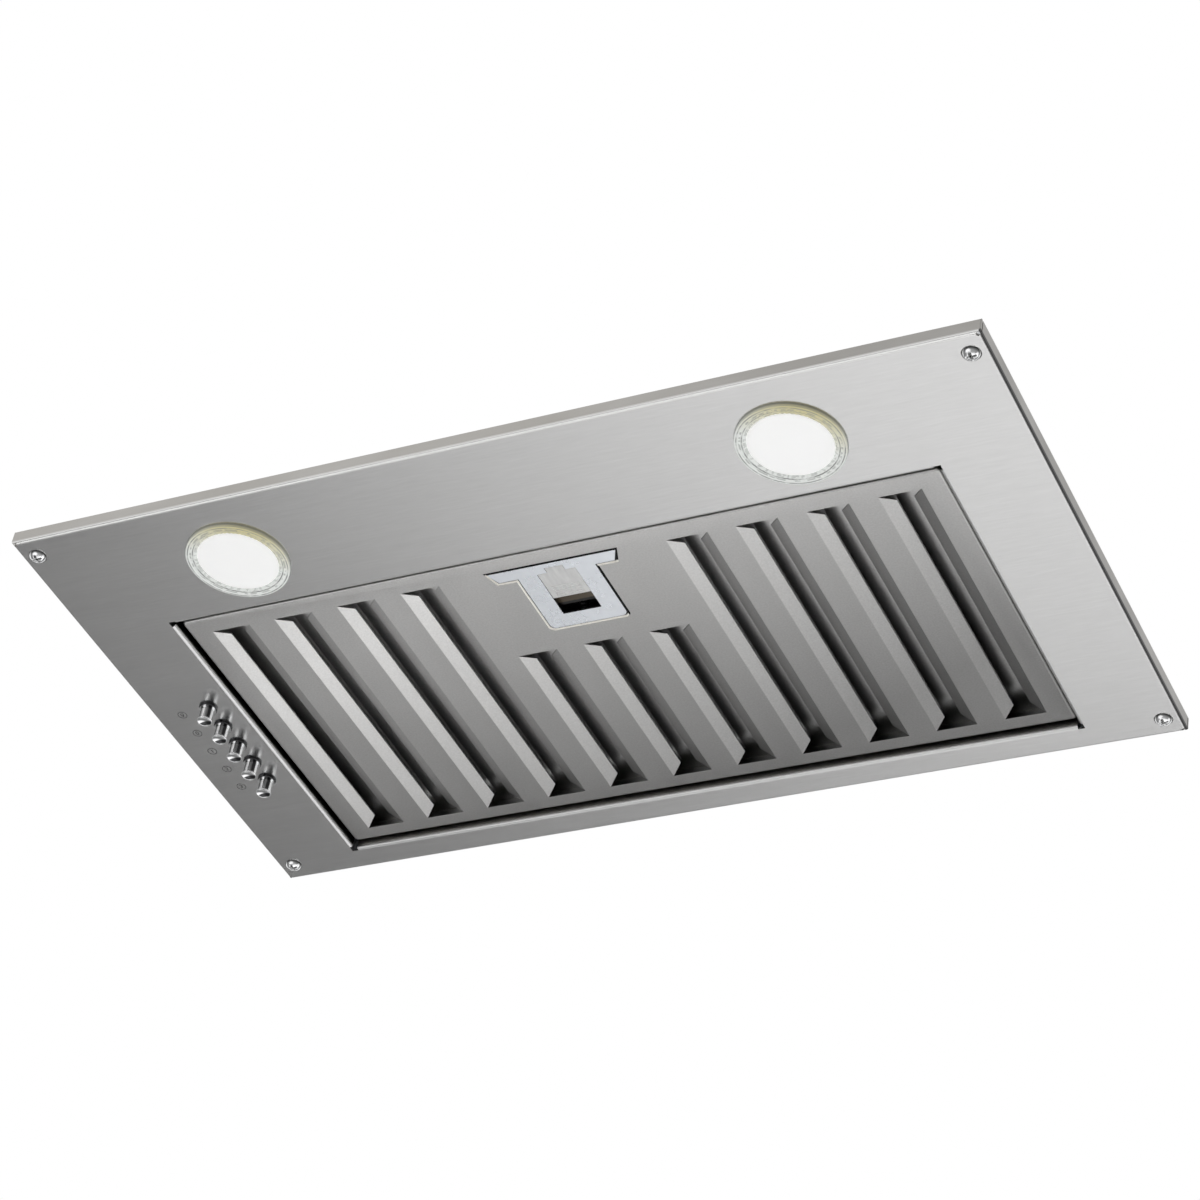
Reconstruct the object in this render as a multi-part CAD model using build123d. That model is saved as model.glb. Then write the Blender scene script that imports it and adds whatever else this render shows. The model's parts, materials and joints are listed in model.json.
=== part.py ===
"""Range hood insert: face plate, baffle filter, twin blower, lamps and duct collar.

Frame: origin at the centre of the four mounting screws on the face plate's upper side.
+X is to the user's right, -Y is the front, towards the user, +Z is up. Sizes are in mm.
"""
from build123d import *

import os
from math import cos, pi, sin, sqrt

# --- face plate -----------------------------------------------------------------------
plate_width = 520.7
plate_depth = 292.7
plate_sheet = 1.0
lip_height = 7.9  # from the plate's underside to the top of the turned-up lips
bend_inside = 0.8  # inside radius of every bend in the face plate
lip_corner_slit = 0.7
lip_corner_relief = 1.1  # radius of the relief hole at the foot of each slit
opening_front_border = 78.35
opening_back_border = 16.85
opening_side_border = 50.35
opening_flange_height = 12.0  # from the plate's underside
opening_notch = 1.6

# --- cabinet screws -------------------------------------------------------------------
screw_inset_x = 8.85
screw_inset_y = 11.85
screw_radius = 2.4
screw_length = 12.5
screw_tip = 3.4
screw_tip_radius = 0.3
screw_head_radius = 4.8
screw_head_height = 2.6
screw_hole_clearance = 1.2  # oversize, so that the plate can be lined up
screw_cross = 4.6
screw_cross_width = 1.1
screw_cross_depth = 1.5

# --- clearances -----------------------------------------------------------------------
running_fit = 0.08
fixed_fit = 0.05
slip_fit = 0.2

# --- filter ---------------------------------------------------------------------------
filter_recess = 3.8  # filter face above the plate's underside
filter_thickness = 11.0
filter_sheet = 0.8
filter_gap_front = 4.2
filter_gap_back = 1.6
filter_gap_side = 1.2
filter_edge_radius = 1.4
slot_count = 11
short_slot_count = 3
slot_width = 22.0
slot_side_margin = 13.1
slot_front_margin = 10.6
slot_back_margin = 9.0
short_slot_gap = 15.1  # from the latch's stem to the short slots
slot_flange_run = 6.65
slot_flange_rise = 2.7
pivot_back_distance = 6.4  # from the filter's back edge
pivot_height = 4.4  # above the filter's face
pivot_radius = 2.0
pivot_reach = 1.0  # beyond the outside of the opening's flange
pivot_head_radius = 2.6
pivot_head = 1.4

# --- filter latch ---------------------------------------------------------------------
latch_front_margin = 10.1  # from the filter's front edge to the T's bar
latch_bar_half = 35.6
latch_bar_slant = 3.6
latch_bar_depth = 7.0
latch_stem_half = 21.3
latch_stem_length = 39.1
latch_corner_radius = 3.0
latch_groove = 1.5
latch_inset = 0.1
latch_gap = 0.6  # between the T plate and the sheet round it
latch_back_sheet = 0.8
latch_rim = 3.0
slider_half = 10.4
slider_bump_half = 4.9
slider_bump = 3.5
slider_front = 6.6  # from the T's front edge to the slider's shoulder
slider_length = 18.5
slider_travel = 6.0
slider_height = 6.4
slider_wing = 2.0
slider_tail = 1.4  # from the wings' underside to the part behind the thumb pad
slider_sink = 0.15  # of the slider's face behind the T plate's
finger_recess = 12.0
finger_floor = 3.4
channel_sheet = 0.8
rib_count = 6
rib_half = 7.5
rib_depth = 0.35
rib_field = 9.0
tongue_half = 8.0
tongue_thickness = 2.0
tongue_height = 3.4  # above the filter's face
tongue_gap = 0.5  # from the tongue's tip to the catch window
catch_side_gap = 1.0
catch_gap = 0.6  # above and below the tongue
latch_spring_radius = 1.9
latch_spring_wire = 0.45
latch_spring_turns = 5
strike_sheet = 1.2
strike_half = 16.0
strike_below = 4.2  # from the tongue's underside to the strike's lower edge

# --- lamps ----------------------------------------------------------------------------
lamp_inset_x = 109.85
lamp_inset_y = 43.05
lamp_rim_radius = 26.7
lamp_lens_radius = 20.8
lamp_hole_clearance = 0.2
lamp_rim_proud = 2.0
lamp_rim_height = 8.0
lamp_lens_thickness = 2.0
lamp_lens_proud = 1.2
lamp_shelf = 1.3
lamp_board = 1.6
lamp_can_wall = 1.2
lamp_can_height = 22.0
lamp_ear = 6.0
lamp_ear_half = 5.0
lamp_scallop = 0.6  # from the lamp's can to the cut-out in the plenum's flange
lamp_fin_count = 7
lamp_fin_gap = 3.0
lamp_fin_depth = 9.0
lamp_entry = 5.0
lamp_stud_shift = 0.4  # of the ear's stud, outwards from the ear's middle
lens_edge_radius = 0.4
led_chip = 3.0
led_chip_height = 0.8
led_ring_radius = 12.0
led_ring_count = 8
nut_room = 1.0  # round each nut on a lamp's ear

# --- push buttons and their switch ----------------------------------------------------
button_count = 5
button_pitch = 15.9
button_inset_x = 33.05
button_row_shift = -1.25  # from the middle of the filter opening
button_body_radius = 3.5
button_cap_radius = 4.1
button_cap_height = 2.4
button_cap_bevel = 0.7
button_cap_rim = 1.2  # from the tip to the foot of the cap's flare
button_projection = 9.4  # below the plate's underside
button_travel = 3.0
button_stem_radius = 2.0
button_stem_end = 14.0
bezel_collar_radius = 5.0
bezel_collar = 1.4
bezel_wall = 0.8
bezel_edge_radius = 0.5
button_shoulder_gap = 1.0  # from the pressed button to the switch
switch_base = 6.0  # above the plate's upper side
switch_half_width = 10.0
switch_height = 27.0
switch_end_margin = 8.0
switch_bore_spare = 1.5
tab_width = 4.8  # flat push-on terminals
tab_length = 5.0
tab_sheet = 0.8
tab_spread = 5.0  # from the middle of a pair of tabs

# --- plenum ---------------------------------------------------------------------------
housing_sheet = 0.8
plenum_height = 156.0
plenum_standoff = 2.2  # from the opening's flange to the plenum's wall
plenum_front_rise = 85.0
plenum_taper = 18.0
plenum_flange = 7.0
plenum_top_margin = 31.5  # from the collar's front to the top's front edge
end_lip = 12.0

# --- duct collar and dampers ----------------------------------------------------------
duct_width = 254.0
duct_depth = 82.6
duct_slip = 0.8
collar_height = 38.0
collar_flange = 12.0
collar_centre_y = 66.0
damper_rod_radius = 1.5
damper_rod_height = 5.0
damper_rod_spread = 3.2
damper_sheet = 0.6
damper_sleeve_wall = 0.9
damper_edge_gap = 1.0
damper_rest_gap = 0.3
damper_stop_reach = 3.0
damper_stop_length = 14.0

# --- blower ---------------------------------------------------------------------------
motor_bay_half = 42.0
wheel_radius = 44.0
wheel_inner_radius = 36.0
blade_count = 32
blade_thickness = 0.8
blade_bow = 2.2
blade_inset = 0.4  # from the ring's inner and outer edges
wheel_back_gap = 7.2
wheel_end_gap = 6.6
wheel_disc = 1.0
wheel_ring = 3.0
scroll_gap = 8.0
scroll_step = 8.0
scroll_flange = 9.0
scroll_drop = 63.0  # from the plenum's top to the blower axis
inlet_radius = 34.5
inlet_flange = 14.0
inlet_reach = 5.0
inlet_lip = 2.4
inlet_lip_width = 3.0
inlet_lip_radius = 1.2
shaft_radius = 4.0
shaft_hole_radius = 12.0
hub_radius = 9.0
hub_length = 13.0
motor_radius = 34.0
motor_wall = 1.2
motor_half_length = 33.0
motor_end_sheet = 3.0
motor_boss_radius = 10.0
motor_boss = 4.0
bearing_radius = 7.5
stator_half_length = 22.0
rotor_radius = 17.0
rotor_half_length = 25.0
air_gap = 0.6
winding_depth = 9.0
winding_gap = 2.0  # to the can and to the rotor
strap_width = 24.0
strap_sheet = 1.2
strap_flange = 14.0
set_screw_radius = 2.0
set_screw_socket = 1.6
capacitor_radius = 16.0
capacitor_length = 64.0
capacitor_x = 90.0
capacitor_height = 52.0
capacitor_rim = 1.5
clamp_width = 16.0
clamp_sheet = 1.0
clamp_foot = 11.0

# --- wiring ---------------------------------------------------------------------------
control_width = 29.5
control_gap = 1.0
control_front_reach = 64.0  # from the row's middle to the box's front wall
control_height = 44.0
control_foot = 8.0
knockout_radius = 11.1  # standard 7/8 in hole of a 1/2 in cable fitting
knockout_from_back = 31.0
terminal_gap = 5.7  # from the switch block to the terminal block
terminal_width = 20.0
terminal_depth = 40.0
terminal_height = 18.0
terminal_poles = 4
terminal_screw_radius = 2.6
terminal_screw_depth = 4.0
terminal_wire_radius = 2.0
terminal_wire_depth = 6.0
driver_width = 46.0
driver_depth = 44.0
driver_height = 20.0
driver_front_gap = 14.0
driver_side_gap = 14.0
driver_foot_half = 6.0
driver_edge_radius = 1.5
cover_width = 16.0
cover_height = 16.0
cover_end_gap = 8.0
cover_flange = 7.0
lead_radius = 1.8
lead_height = 8.0
motor_lead_radius = 3.0
motor_lead_height = 34.0
motor_lead_bend = 0.75  # share of the straight run from the bend's corner to the gland
motor_lead_from_front = 12.0  # behind the control box's front wall
motor_lead_x = 24.0
gland_radius = 5.0
gland_length = 7.0
grommet_wall = 1.6
grommet_lip = 1.5
lead_end = 4.0  # of each lead inside the control box

# --- small hardware -------------------------------------------------------------------
stud_radius = 1.5
stud_length = 5.0
nut_across_flats = 5.5
nut_height = 2.4
sheet_screw_radius = 1.6
sheet_screw_length = 7.0
sheet_screw_head_radius = 3.1
sheet_screw_head = 1.9

# --- places worked out from the sizes above -------------------------------------------
half_width = plate_width / 2
half_depth = plate_depth / 2
underside = -plate_sheet
lip_top = underside + lip_height
opening_half = half_width - opening_side_border
opening_front = -half_depth + opening_front_border
opening_back = half_depth - opening_back_border
opening_middle = (opening_front + opening_back) / 2
flange_top = underside + opening_flange_height
screw_x = half_width - screw_inset_x
screw_y = half_depth - screw_inset_y

filter_half = opening_half - filter_gap_side
filter_front = opening_front + filter_gap_front
filter_back = opening_back - filter_gap_back
filter_face = underside + filter_recess
filter_top = filter_face + filter_thickness
slot_front = filter_front + slot_front_margin
slot_back = filter_back - slot_back_margin
slot_pitch = (2 * (filter_half - slot_side_margin) - slot_width) / (slot_count - 1)
pivot_y = filter_back - pivot_back_distance
pivot_z = filter_face + pivot_height
inner_wall_face = filter_half - 2 * filter_sheet

latch_front = filter_front + latch_front_margin
latch_back = latch_front + latch_bar_depth + latch_stem_length
short_slot_front = latch_back + short_slot_gap
shoulder_y = latch_front + slider_front
thumb_back = shoulder_y + slider_length
window_back = thumb_back + finger_recess
channel_floor = filter_face + filter_sheet + latch_back_sheet
slider_top = channel_floor + slip_fit + slider_height - latch_back_sheet
wing_half = slider_half + slider_wing
channel_back = latch_back + latch_rim - channel_sheet
tongue_base = filter_face + tongue_height
slider_back = window_back - finger_floor

lamp_x = half_width - lamp_inset_x
lamp_y = -half_depth + lamp_inset_y
lamp_can_inside = lamp_rim_radius + lamp_hole_clearance
lamp_can_radius = lamp_can_inside + lamp_can_wall
lamp_ear_reach = lamp_can_radius + lamp_ear
lamp_stud_reach = (lamp_can_radius + lamp_ear_reach) / 2 + lamp_stud_shift
lamp_shelf_z = underside - lamp_lens_proud + lamp_lens_thickness
lamp_board_z = underside - lamp_rim_proud + lamp_rim_height

button_x = -half_width + button_inset_x
button_row_middle = opening_middle + button_row_shift
button_ys = [
    button_row_middle + (n - (button_count - 1) / 2) * button_pitch for n in range(button_count)
]
bezel_bore = button_body_radius + running_fit
bezel_tube_radius = bezel_bore + bezel_wall

plenum_half = opening_half + plate_sheet + plenum_standoff + housing_sheet
plenum_front = opening_front - plate_sheet - plenum_standoff - housing_sheet
plenum_back = opening_back + plate_sheet + plenum_standoff + housing_sheet
collar_half = duct_width / 2 - duct_slip
collar_front = collar_centre_y - duct_depth / 2 + duct_slip
collar_back = collar_centre_y + duct_depth / 2 - duct_slip
plenum_top_front = collar_front - plenum_top_margin
ceiling = plenum_height - housing_sheet  # underside of the plenum's top
collar_top = plenum_height + collar_height
port_half = collar_half - housing_sheet
port_front = collar_front + housing_sheet
port_back = collar_back - housing_sheet
rod_z = plenum_height + damper_rod_height

scroll_front_radius = wheel_radius + scroll_gap
scroll_low_radius = scroll_front_radius + scroll_step
scroll_back_radius = scroll_low_radius + scroll_step
axis_y = port_back - housing_sheet - scroll_back_radius - scroll_step / 2
axis_z = plenum_height - scroll_drop
wheel_inner_x = motor_bay_half + housing_sheet + wheel_back_gap
wheel_outer_x = port_half - housing_sheet - wheel_end_gap
shaft_half = wheel_inner_x + hub_length
motor_end_x = motor_half_length + motor_end_sheet
motor_face_x = motor_end_x + motor_boss

control_inner = -plenum_half - control_gap
control_outer = control_inner - control_width
control_front = button_row_middle - control_front_reach
knockout_x = (control_inner + control_outer) / 2
knockout_y = button_ys[-1] + switch_end_margin + terminal_gap + terminal_depth / 2
control_back = knockout_y + knockout_from_back
driver_left = -half_width + driver_side_gap
driver_front = -half_depth + driver_front_gap
motor_lead_y = control_front + motor_lead_from_front
flange_stud_xs = [plenum_half * share for share in (-0.92, -0.3, 0.3, 0.92)]


# --- shared shapes --------------------------------------------------------------------
def block(x0, x1, y0, y1, z0, z1):
    """Box between two corners."""
    return Pos((x0 + x1) / 2, (y0 + y1) / 2, (z0 + z1) / 2) * Box(x1 - x0, y1 - y0, z1 - z0)


def rod(start, direction, radius, length):
    """Cylinder that starts at a point and runs along a direction."""
    cylinder = Cylinder(radius, length, align=(Align.CENTER, Align.CENTER, Align.MIN))
    return Plane(origin=start, z_dir=direction) * cylinder


def tube(start, direction, outer, inner, length):
    """Hollow cylinder."""
    return rod(start, direction, outer, length) - rod(start, direction, inner, length)


def prism_x(points, x0, x1):
    """Outline in (y, z), extruded along X."""
    return extrude(Plane.YZ.offset(x0) * Polygon(*points, align=None), x1 - x0, dir=(1, 0, 0))


def prism_y(points, y0, y1):
    """Outline in (x, z), extruded along Y."""
    return extrude(Plane.XZ.offset(-y0) * Polygon(*points, align=None), y1 - y0, dir=(0, 1, 0))


def prism_z(points, z0, z1):
    """Outline in (x, y), extruded along Z."""
    return extrude(Plane.XY.offset(z0) * Polygon(*points, align=None), z1 - z0, dir=(0, 0, 1))


def fuse(shapes):
    """One shape from many."""
    shapes = list(shapes)
    return shapes[0].fuse(*shapes[1:]) if len(shapes) > 1 else shapes[0]


def mirrored(shape):
    """The same shape on the other side of the YZ plane."""
    return mirror(shape, about=Plane.YZ)


def write(node, *solids):
    """Save one node, as a group where it has several solids."""
    shape = solids[0] if len(solids) == 1 else Compound(children=list(solids))
    export_step(shape, f"parts/{node}.step")


def edges_at(shape, z, x_half, y_low, y_high):
    """Edges at a height that run along a rectangle's sides."""
    picked = []
    for edge in shape.edges():
        box = edge.bounding_box()
        level = abs(box.min.Z - z) < 1e-4 and abs(box.max.Z - z) < 1e-4
        middle = edge.center()
        on_x = abs(abs(middle.X) - x_half) < 1e-4
        on_y = min(abs(middle.Y - y_low), abs(middle.Y - y_high)) < 1e-4
        if level and (on_x or on_y):
            picked.append(edge)
    return picked


# --- face plate and its hardware ------------------------------------------------------
def screw_places():
    """The four mounting screws."""
    return [(x, y) for x in (-screw_x, screw_x) for y in (-screw_y, screw_y)]


def lamp_places():
    """Lamp centres."""
    return [(-lamp_x, lamp_y), (lamp_x, lamp_y)]


def stud_places():
    """Studs welded to the plate's upper side, one under each nut."""
    front = plenum_front - plenum_flange / 2
    back = plenum_back + plenum_flange / 2
    places = [(x, y) for x in flange_stud_xs for y in (front, back)]
    places += [(x + s * lamp_stud_reach, y) for x, y in lamp_places() for s in (-1, 1)]
    reach = cover_width / 2 + cover_flange / 2
    places += [(x, lamp_y + s * reach) for x in (-lamp_x / 3, lamp_x / 3) for s in (-1, 1)]
    foot = control_foot / 2
    places += [(knockout_x, control_front + foot), (knockout_x, control_back - foot)]
    driver_middle = driver_left + driver_width / 2
    places += [(driver_middle, driver_front - foot), (driver_middle, driver_front + driver_depth + foot)]
    return places


def plate_blank():
    """Sheet with turned-up lips and the filter opening's flange, bends rounded."""
    outer = block(-half_width, half_width, -half_depth, half_depth, underside, lip_top)
    tray_half = half_width - plate_sheet
    tray_depth = half_depth - plate_sheet
    blank = outer - block(-tray_half, tray_half, -tray_depth, tray_depth, 0, lip_top)
    rim_half = opening_half + plate_sheet
    rim_front = opening_front - plate_sheet
    rim_back = opening_back + plate_sheet
    blank += block(-rim_half, rim_half, rim_front, rim_back, 0, flange_top)
    blank -= block(-opening_half, opening_half, opening_front, opening_back, underside, flange_top)
    outside = bend_inside + plate_sheet
    bends = [
        (underside, half_width, -half_depth, half_depth, outside),
        (0, tray_half, -tray_depth, tray_depth, bend_inside),
        (underside, opening_half, opening_front, opening_back, outside),
        (0, rim_half, rim_front, rim_back, bend_inside),
    ]
    for z, x_half, y_low, y_high, radius in bends:
        blank = blank.fillet(radius, edges_at(blank, z, x_half, y_low, y_high))
    return blank


def make_face_plate():
    """Face plate with its notches, slits and holes."""
    plate = plate_blank()
    cuts = []
    for side in (-1, 1):
        for end, edge_y in ((-1, opening_front), (1, opening_back)):
            notch = opening_notch / 2 + plate_sheet
            corner = Pos(side * opening_half, edge_y, 0)
            cuts.append(corner * Box(2 * notch, 2 * notch, 4 * opening_flange_height))
            slit_y = end * (half_depth - plate_sheet - lip_corner_slit / 2)
            slit_x = side * (half_width - bend_inside - plate_sheet / 2)
            slit_width = 2 * bend_inside + plate_sheet
            slit_height = lip_height + plate_sheet
            slit = Box(slit_width, lip_corner_slit, slit_height)
            cuts.append(Pos(slit_x, slit_y, slit_height / 2) * slit)
            relief_x = side * (half_width - plate_sheet - bend_inside)
            cuts.append(plate_hole(relief_x, slit_y, lip_corner_relief))
    for x, y in screw_places():
        cuts.append(plate_hole(x, y, screw_radius + screw_hole_clearance))
    for x, y in lamp_places():
        cuts.append(plate_hole(x, y, lamp_can_inside))
    for y in button_ys:
        cuts.append(plate_hole(button_x, y, bezel_tube_radius + fixed_fit))
    pivot_hole = pivot_radius + running_fit
    for start_x in (-opening_half - 2 * plate_sheet, opening_half - plate_sheet):
        cuts.append(rod((start_x, pivot_y, pivot_z), (1, 0, 0), pivot_hole, 3 * plate_sheet))
    cuts.append(catch_window(opening_front - 2 * plate_sheet, opening_front + plate_sheet))
    return plate - cuts


def plate_hole(x, y, radius):
    """Round hole through the face plate."""
    return rod((x, y, 2 * underside), (0, 0, 1), radius, 3 * plate_sheet)


def catch_window(y0, y1):
    """Space that the latch's tongue enters."""
    half = tongue_half + catch_side_gap
    high = tongue_base + tongue_thickness + catch_gap
    return block(-half, half, y0, y1, tongue_base - catch_gap, high)


def make_corner_screw(x, y):
    """Pan-head screw with a cross recess, up through the plate."""
    shank = rod((x, y, underside), (0, 0, 1), screw_radius, screw_length)
    tip = Pos(x, y, underside + screw_length) * Cone(
        screw_radius, screw_tip_radius, screw_tip, align=(Align.CENTER, Align.CENTER, Align.MIN)
    )
    ball = (screw_head_radius**2 + screw_head_height**2) / (2 * screw_head_height)
    dome = Pos(x, y, underside - screw_head_height + ball) * Sphere(ball)
    head = dome & block(
        x - screw_head_radius, x + screw_head_radius, y - screw_head_radius, y + screw_head_radius,
        underside - screw_head_height, underside,
    )
    face = Pos(x, y, underside - screw_head_height)
    cross = face * Box(screw_cross, screw_cross_width, 2 * screw_cross_depth)
    cross += face * Box(screw_cross_width, screw_cross, 2 * screw_cross_depth)
    return fuse([shank, tip, head]) - cross


def make_nut(x, y):
    """Hexagon nut on a welded stud, on top of a flange."""
    hexagon = RegularPolygon(nut_across_flats / 2, 6, major_radius=False)
    body = extrude(Pos(x, y, housing_sheet) * hexagon, nut_height, dir=(0, 0, 1))
    return body - rod((x, y, 0), (0, 0, 1), stud_radius + fixed_fit, stud_length)


def stud_hole(x, y):
    """Hole in a flange for a stud."""
    return rod((x, y, -plate_sheet), (0, 0, 1), stud_radius + slip_fit, 3 * plate_sheet)


def sheet_screw(point, direction):
    """Pan-head sheet screw: its head sits on a point and its shank runs along a direction."""
    shank = rod(point, direction, sheet_screw_radius, sheet_screw_length)
    back = tuple(-value for value in direction)
    head = rod(point, back, sheet_screw_head_radius, sheet_screw_head)
    return shank + head


def screw_hole(point, direction):
    """Hole for a sheet screw, through all the sheets under its head."""
    back = tuple(-value for value in direction)
    radius = sheet_screw_radius + fixed_fit
    reach = rod(point, direction, radius, sheet_screw_length)
    return reach + rod(point, back, radius, housing_sheet)


# --- filter ---------------------------------------------------------------------------
def slot_rows(shift):
    """Each slot's middle and its front end; the middle slots are short, behind the latch."""
    count = slot_count - 1 if shift else slot_count
    short_reach = (short_slot_count - 0.5) / 2 * slot_pitch
    rows = []
    for n in range(count):
        x = (n - (count - 1) / 2) * slot_pitch
        short = abs(x) < short_reach
        rows.append((x, short_slot_front if short else slot_front))
    return rows


def slot_flange(x, front, side, face, up):
    """Sloping flange along one side of a slot, mitred at both ends."""
    hinge = x - side * slot_width / 2
    free = hinge + side * slot_flange_run
    rise = up * slot_flange_rise
    sheet = up * filter_sheet
    outline = [(hinge, face), (free, face + rise), (free, face + rise + sheet), (hinge, face + sheet)]
    strip = prism_y(outline, front, slot_back)
    run = slot_flange_run
    plan = [(hinge, front), (hinge, slot_back), (free, slot_back - run), (free, front + run)]
    low = min(face, face + rise + sheet) - 1
    return strip & prism_z(plan, low, low + slot_flange_rise + filter_sheet + 2)


def tongue_slot():
    """Hole in the filter's front walls for the latch's tongue."""
    half = tongue_half + 2 * slip_fit
    low = tongue_base - 2 * slip_fit
    high = tongue_base + tongue_thickness + 2 * slip_fit
    return block(-half, half, filter_front - 1, filter_front + 4 * filter_sheet, low, high)


def pivot_holes():
    """Holes in the filter's side walls for the pivot pins."""
    start = (-filter_half - 1, pivot_y, pivot_z)
    return rod(start, (1, 0, 0), pivot_radius + fixed_fit, 2 * filter_half + 2)


def slotted_sheet(face, up, shift, inset):
    """Tray with slots: floor at a height, walls on the side that the slots' flanges bend to."""
    half = filter_half - inset
    front = filter_front + inset
    back = filter_back - inset
    far = filter_top if up > 0 else filter_face + filter_sheet
    low, high = min(face, far), max(face, far)
    tray = block(-half, half, front, back, low, high)
    corners = tray.edges().filter_by(Axis.Z)
    tray = tray.fillet(filter_edge_radius + filter_sheet, corners)
    if not inset:
        rim = [edge for edge in tray.edges() if edge.bounding_box().max.Z < low + 1e-4]
        tray = tray.fillet(filter_edge_radius, rim)
    inner_half = half - filter_sheet
    inside = block(
        -inner_half, inner_half, front + filter_sheet, back - filter_sheet,
        min(face + up * filter_sheet, far), max(face + up * filter_sheet, far),
    )
    inside = inside.fillet(filter_edge_radius, inside.edges().filter_by(Axis.Z))
    tray -= inside
    rows = slot_rows(shift)
    level = (face, face + up * filter_sheet)
    for x, slot_start in rows:
        tray -= block(x - slot_width / 2, x + slot_width / 2, slot_start, slot_back, min(level), max(level))
    flanges = [slot_flange(x, slot_start, side, face, up) for x, slot_start in rows for side in (-1, 1)]
    return fuse([tray, *flanges])


def latch_outline(grow, z0, z1):
    """T of the latch plate, grown by an amount on every side."""
    bar = latch_bar_half + grow
    low = bar - latch_bar_slant
    front = latch_front - grow
    bar_back = latch_front + latch_bar_depth + grow
    stem = latch_stem_half + grow
    back = latch_back + grow
    points = [
        (-bar, front), (bar, front), (low, bar_back), (stem, bar_back), (stem, back),
        (-stem, back), (-stem, bar_back), (-low, bar_back),
    ]
    shape = prism_z(points, z0, z1)
    corners = [e for e in shape.edges().filter_by(Axis.Z) if e.center().Y > back - 0.1]
    return shape.fillet(latch_corner_radius, corners)


def make_baffle_face():
    """Lower slotted sheet, the one that is seen, with the latch's recess."""
    sheet = slotted_sheet(filter_face, 1, False, 0)
    sheet -= latch_outline(latch_gap, filter_face - 1, filter_face + filter_sheet)
    half_groove = filter_sheet / 2
    sheet -= latch_outline(latch_groove, filter_face - 1, filter_face + half_groove)
    return sheet - tongue_slot() - pivot_holes()


def make_baffle_back():
    """Upper slotted sheet, turned over and shifted by half a pitch, inside the lower one."""
    sheet = slotted_sheet(filter_top, -1, True, filter_sheet)
    return sheet - tongue_slot() - pivot_holes()


def make_pivot_pin():
    """Right-hand pivot pin, headed on the inside."""
    reach = opening_half + plate_sheet + pivot_reach
    start = inner_wall_face - pivot_head
    pin = rod((start, pivot_y, pivot_z), (1, 0, 0), pivot_radius, reach - start)
    return pin + rod((start, pivot_y, pivot_z), (1, 0, 0), pivot_head_radius, pivot_head)


def slider_plan(grow):
    """Outline of the slider's visible face at rest, in (x, y)."""
    half = slider_half + grow
    bump = slider_bump_half + grow
    front = shoulder_y - grow
    tip = front - slider_bump
    return [
        (-bump, tip), (bump, tip), (bump, front), (half, front), (half, thumb_back),
        (-half, thumb_back), (-half, front), (-bump, front),
    ]


def make_latch_plate():
    """T plate, its flange behind the filter's sheet and the slider's channel, in one piece."""
    show = filter_face + latch_inset
    back_face = filter_face + filter_sheet
    plate = latch_outline(0, show, back_face)
    plate += latch_outline(latch_rim, back_face, channel_floor)
    outer = wing_half + slip_fit + channel_sheet
    inner = wing_half + slip_fit
    front = latch_front - latch_rim
    cover_z = slider_top + slip_fit
    lid_z = cover_z + channel_sheet
    channel = block(-outer, outer, front, channel_back + channel_sheet, channel_floor, lid_z)
    channel -= block(-inner, inner, front + channel_sheet, channel_back, channel_floor, cover_z)
    plate += channel
    window = prism_z(slider_plan(slip_fit), show - 1, channel_floor)
    half = slider_half + slip_fit
    window += block(-half, half, thumb_back - 1, window_back, show - 1, channel_floor)
    return plate - window - tongue_way(front)


def tongue_way(front):
    """Slot in the channel's front wall for the tongue."""
    half = tongue_half + slip_fit
    low = tongue_base - slip_fit
    high = tongue_base + tongue_thickness + slip_fit
    return block(-half, half, front - 1, front + 2 * channel_sheet, low, high)


def make_latch_slider():
    """Thumb slider with ribs, side wings, finger recess and tongue."""
    show = filter_face + latch_inset + slider_sink
    wing_base = channel_floor + slip_fit
    slider = prism_z(slider_plan(0), show, wing_base)
    slider += block(-wing_half, wing_half, shoulder_y, thumb_back, wing_base, slider_top)
    slider += block(-wing_half, wing_half, thumb_back, slider_back, wing_base + slider_tail, slider_top)
    tip = opening_front + tongue_gap
    slider += block(-tongue_half, tongue_half, tip, shoulder_y, tongue_base, tongue_base + tongue_thickness)
    nose = slider.edges().filter_by(Axis.X)
    nose = [e for e in nose if abs(e.center().Y - tip) < 0.01 and e.center().Z > tongue_base + 1]
    slider = slider.chamfer(tongue_thickness * 0.6, None, nose)
    spacing = rib_field / rib_count
    for n in range(rib_count):
        y = thumb_back - (n + 0.75) * spacing
        slider -= block(-rib_half, rib_half, y - spacing / 4, y + spacing / 4, show, show + rib_depth)
    return slider


def make_latch_spring():
    """Coil spring between the slider's back and the channel's end wall."""
    length = channel_back - slider_back
    mean = latch_spring_radius - latch_spring_wire
    lead = length - 2 * latch_spring_wire
    centre_z = (channel_floor + slip_fit + slider_tail + slider_top) / 2
    path = Helix(lead / latch_spring_turns, lead, mean)
    wire = Plane(origin=path @ 0, z_dir=path % 0) * Circle(latch_spring_wire)
    coil = sweep(wire, path)
    place = Plane(origin=(0, slider_back + latch_spring_wire, centre_z), x_dir=(1, 0, 0), z_dir=(0, 1, 0))
    return place * coil


def make_latch_strike():
    """Wear plate behind the opening's front flange, round the catch window."""
    back = opening_front - plate_sheet
    low = tongue_base - strike_below
    plate = block(-strike_half, strike_half, back - strike_sheet, back, low, flange_top)
    return plate - catch_window(back - 2 * strike_sheet, back + 1)


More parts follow.
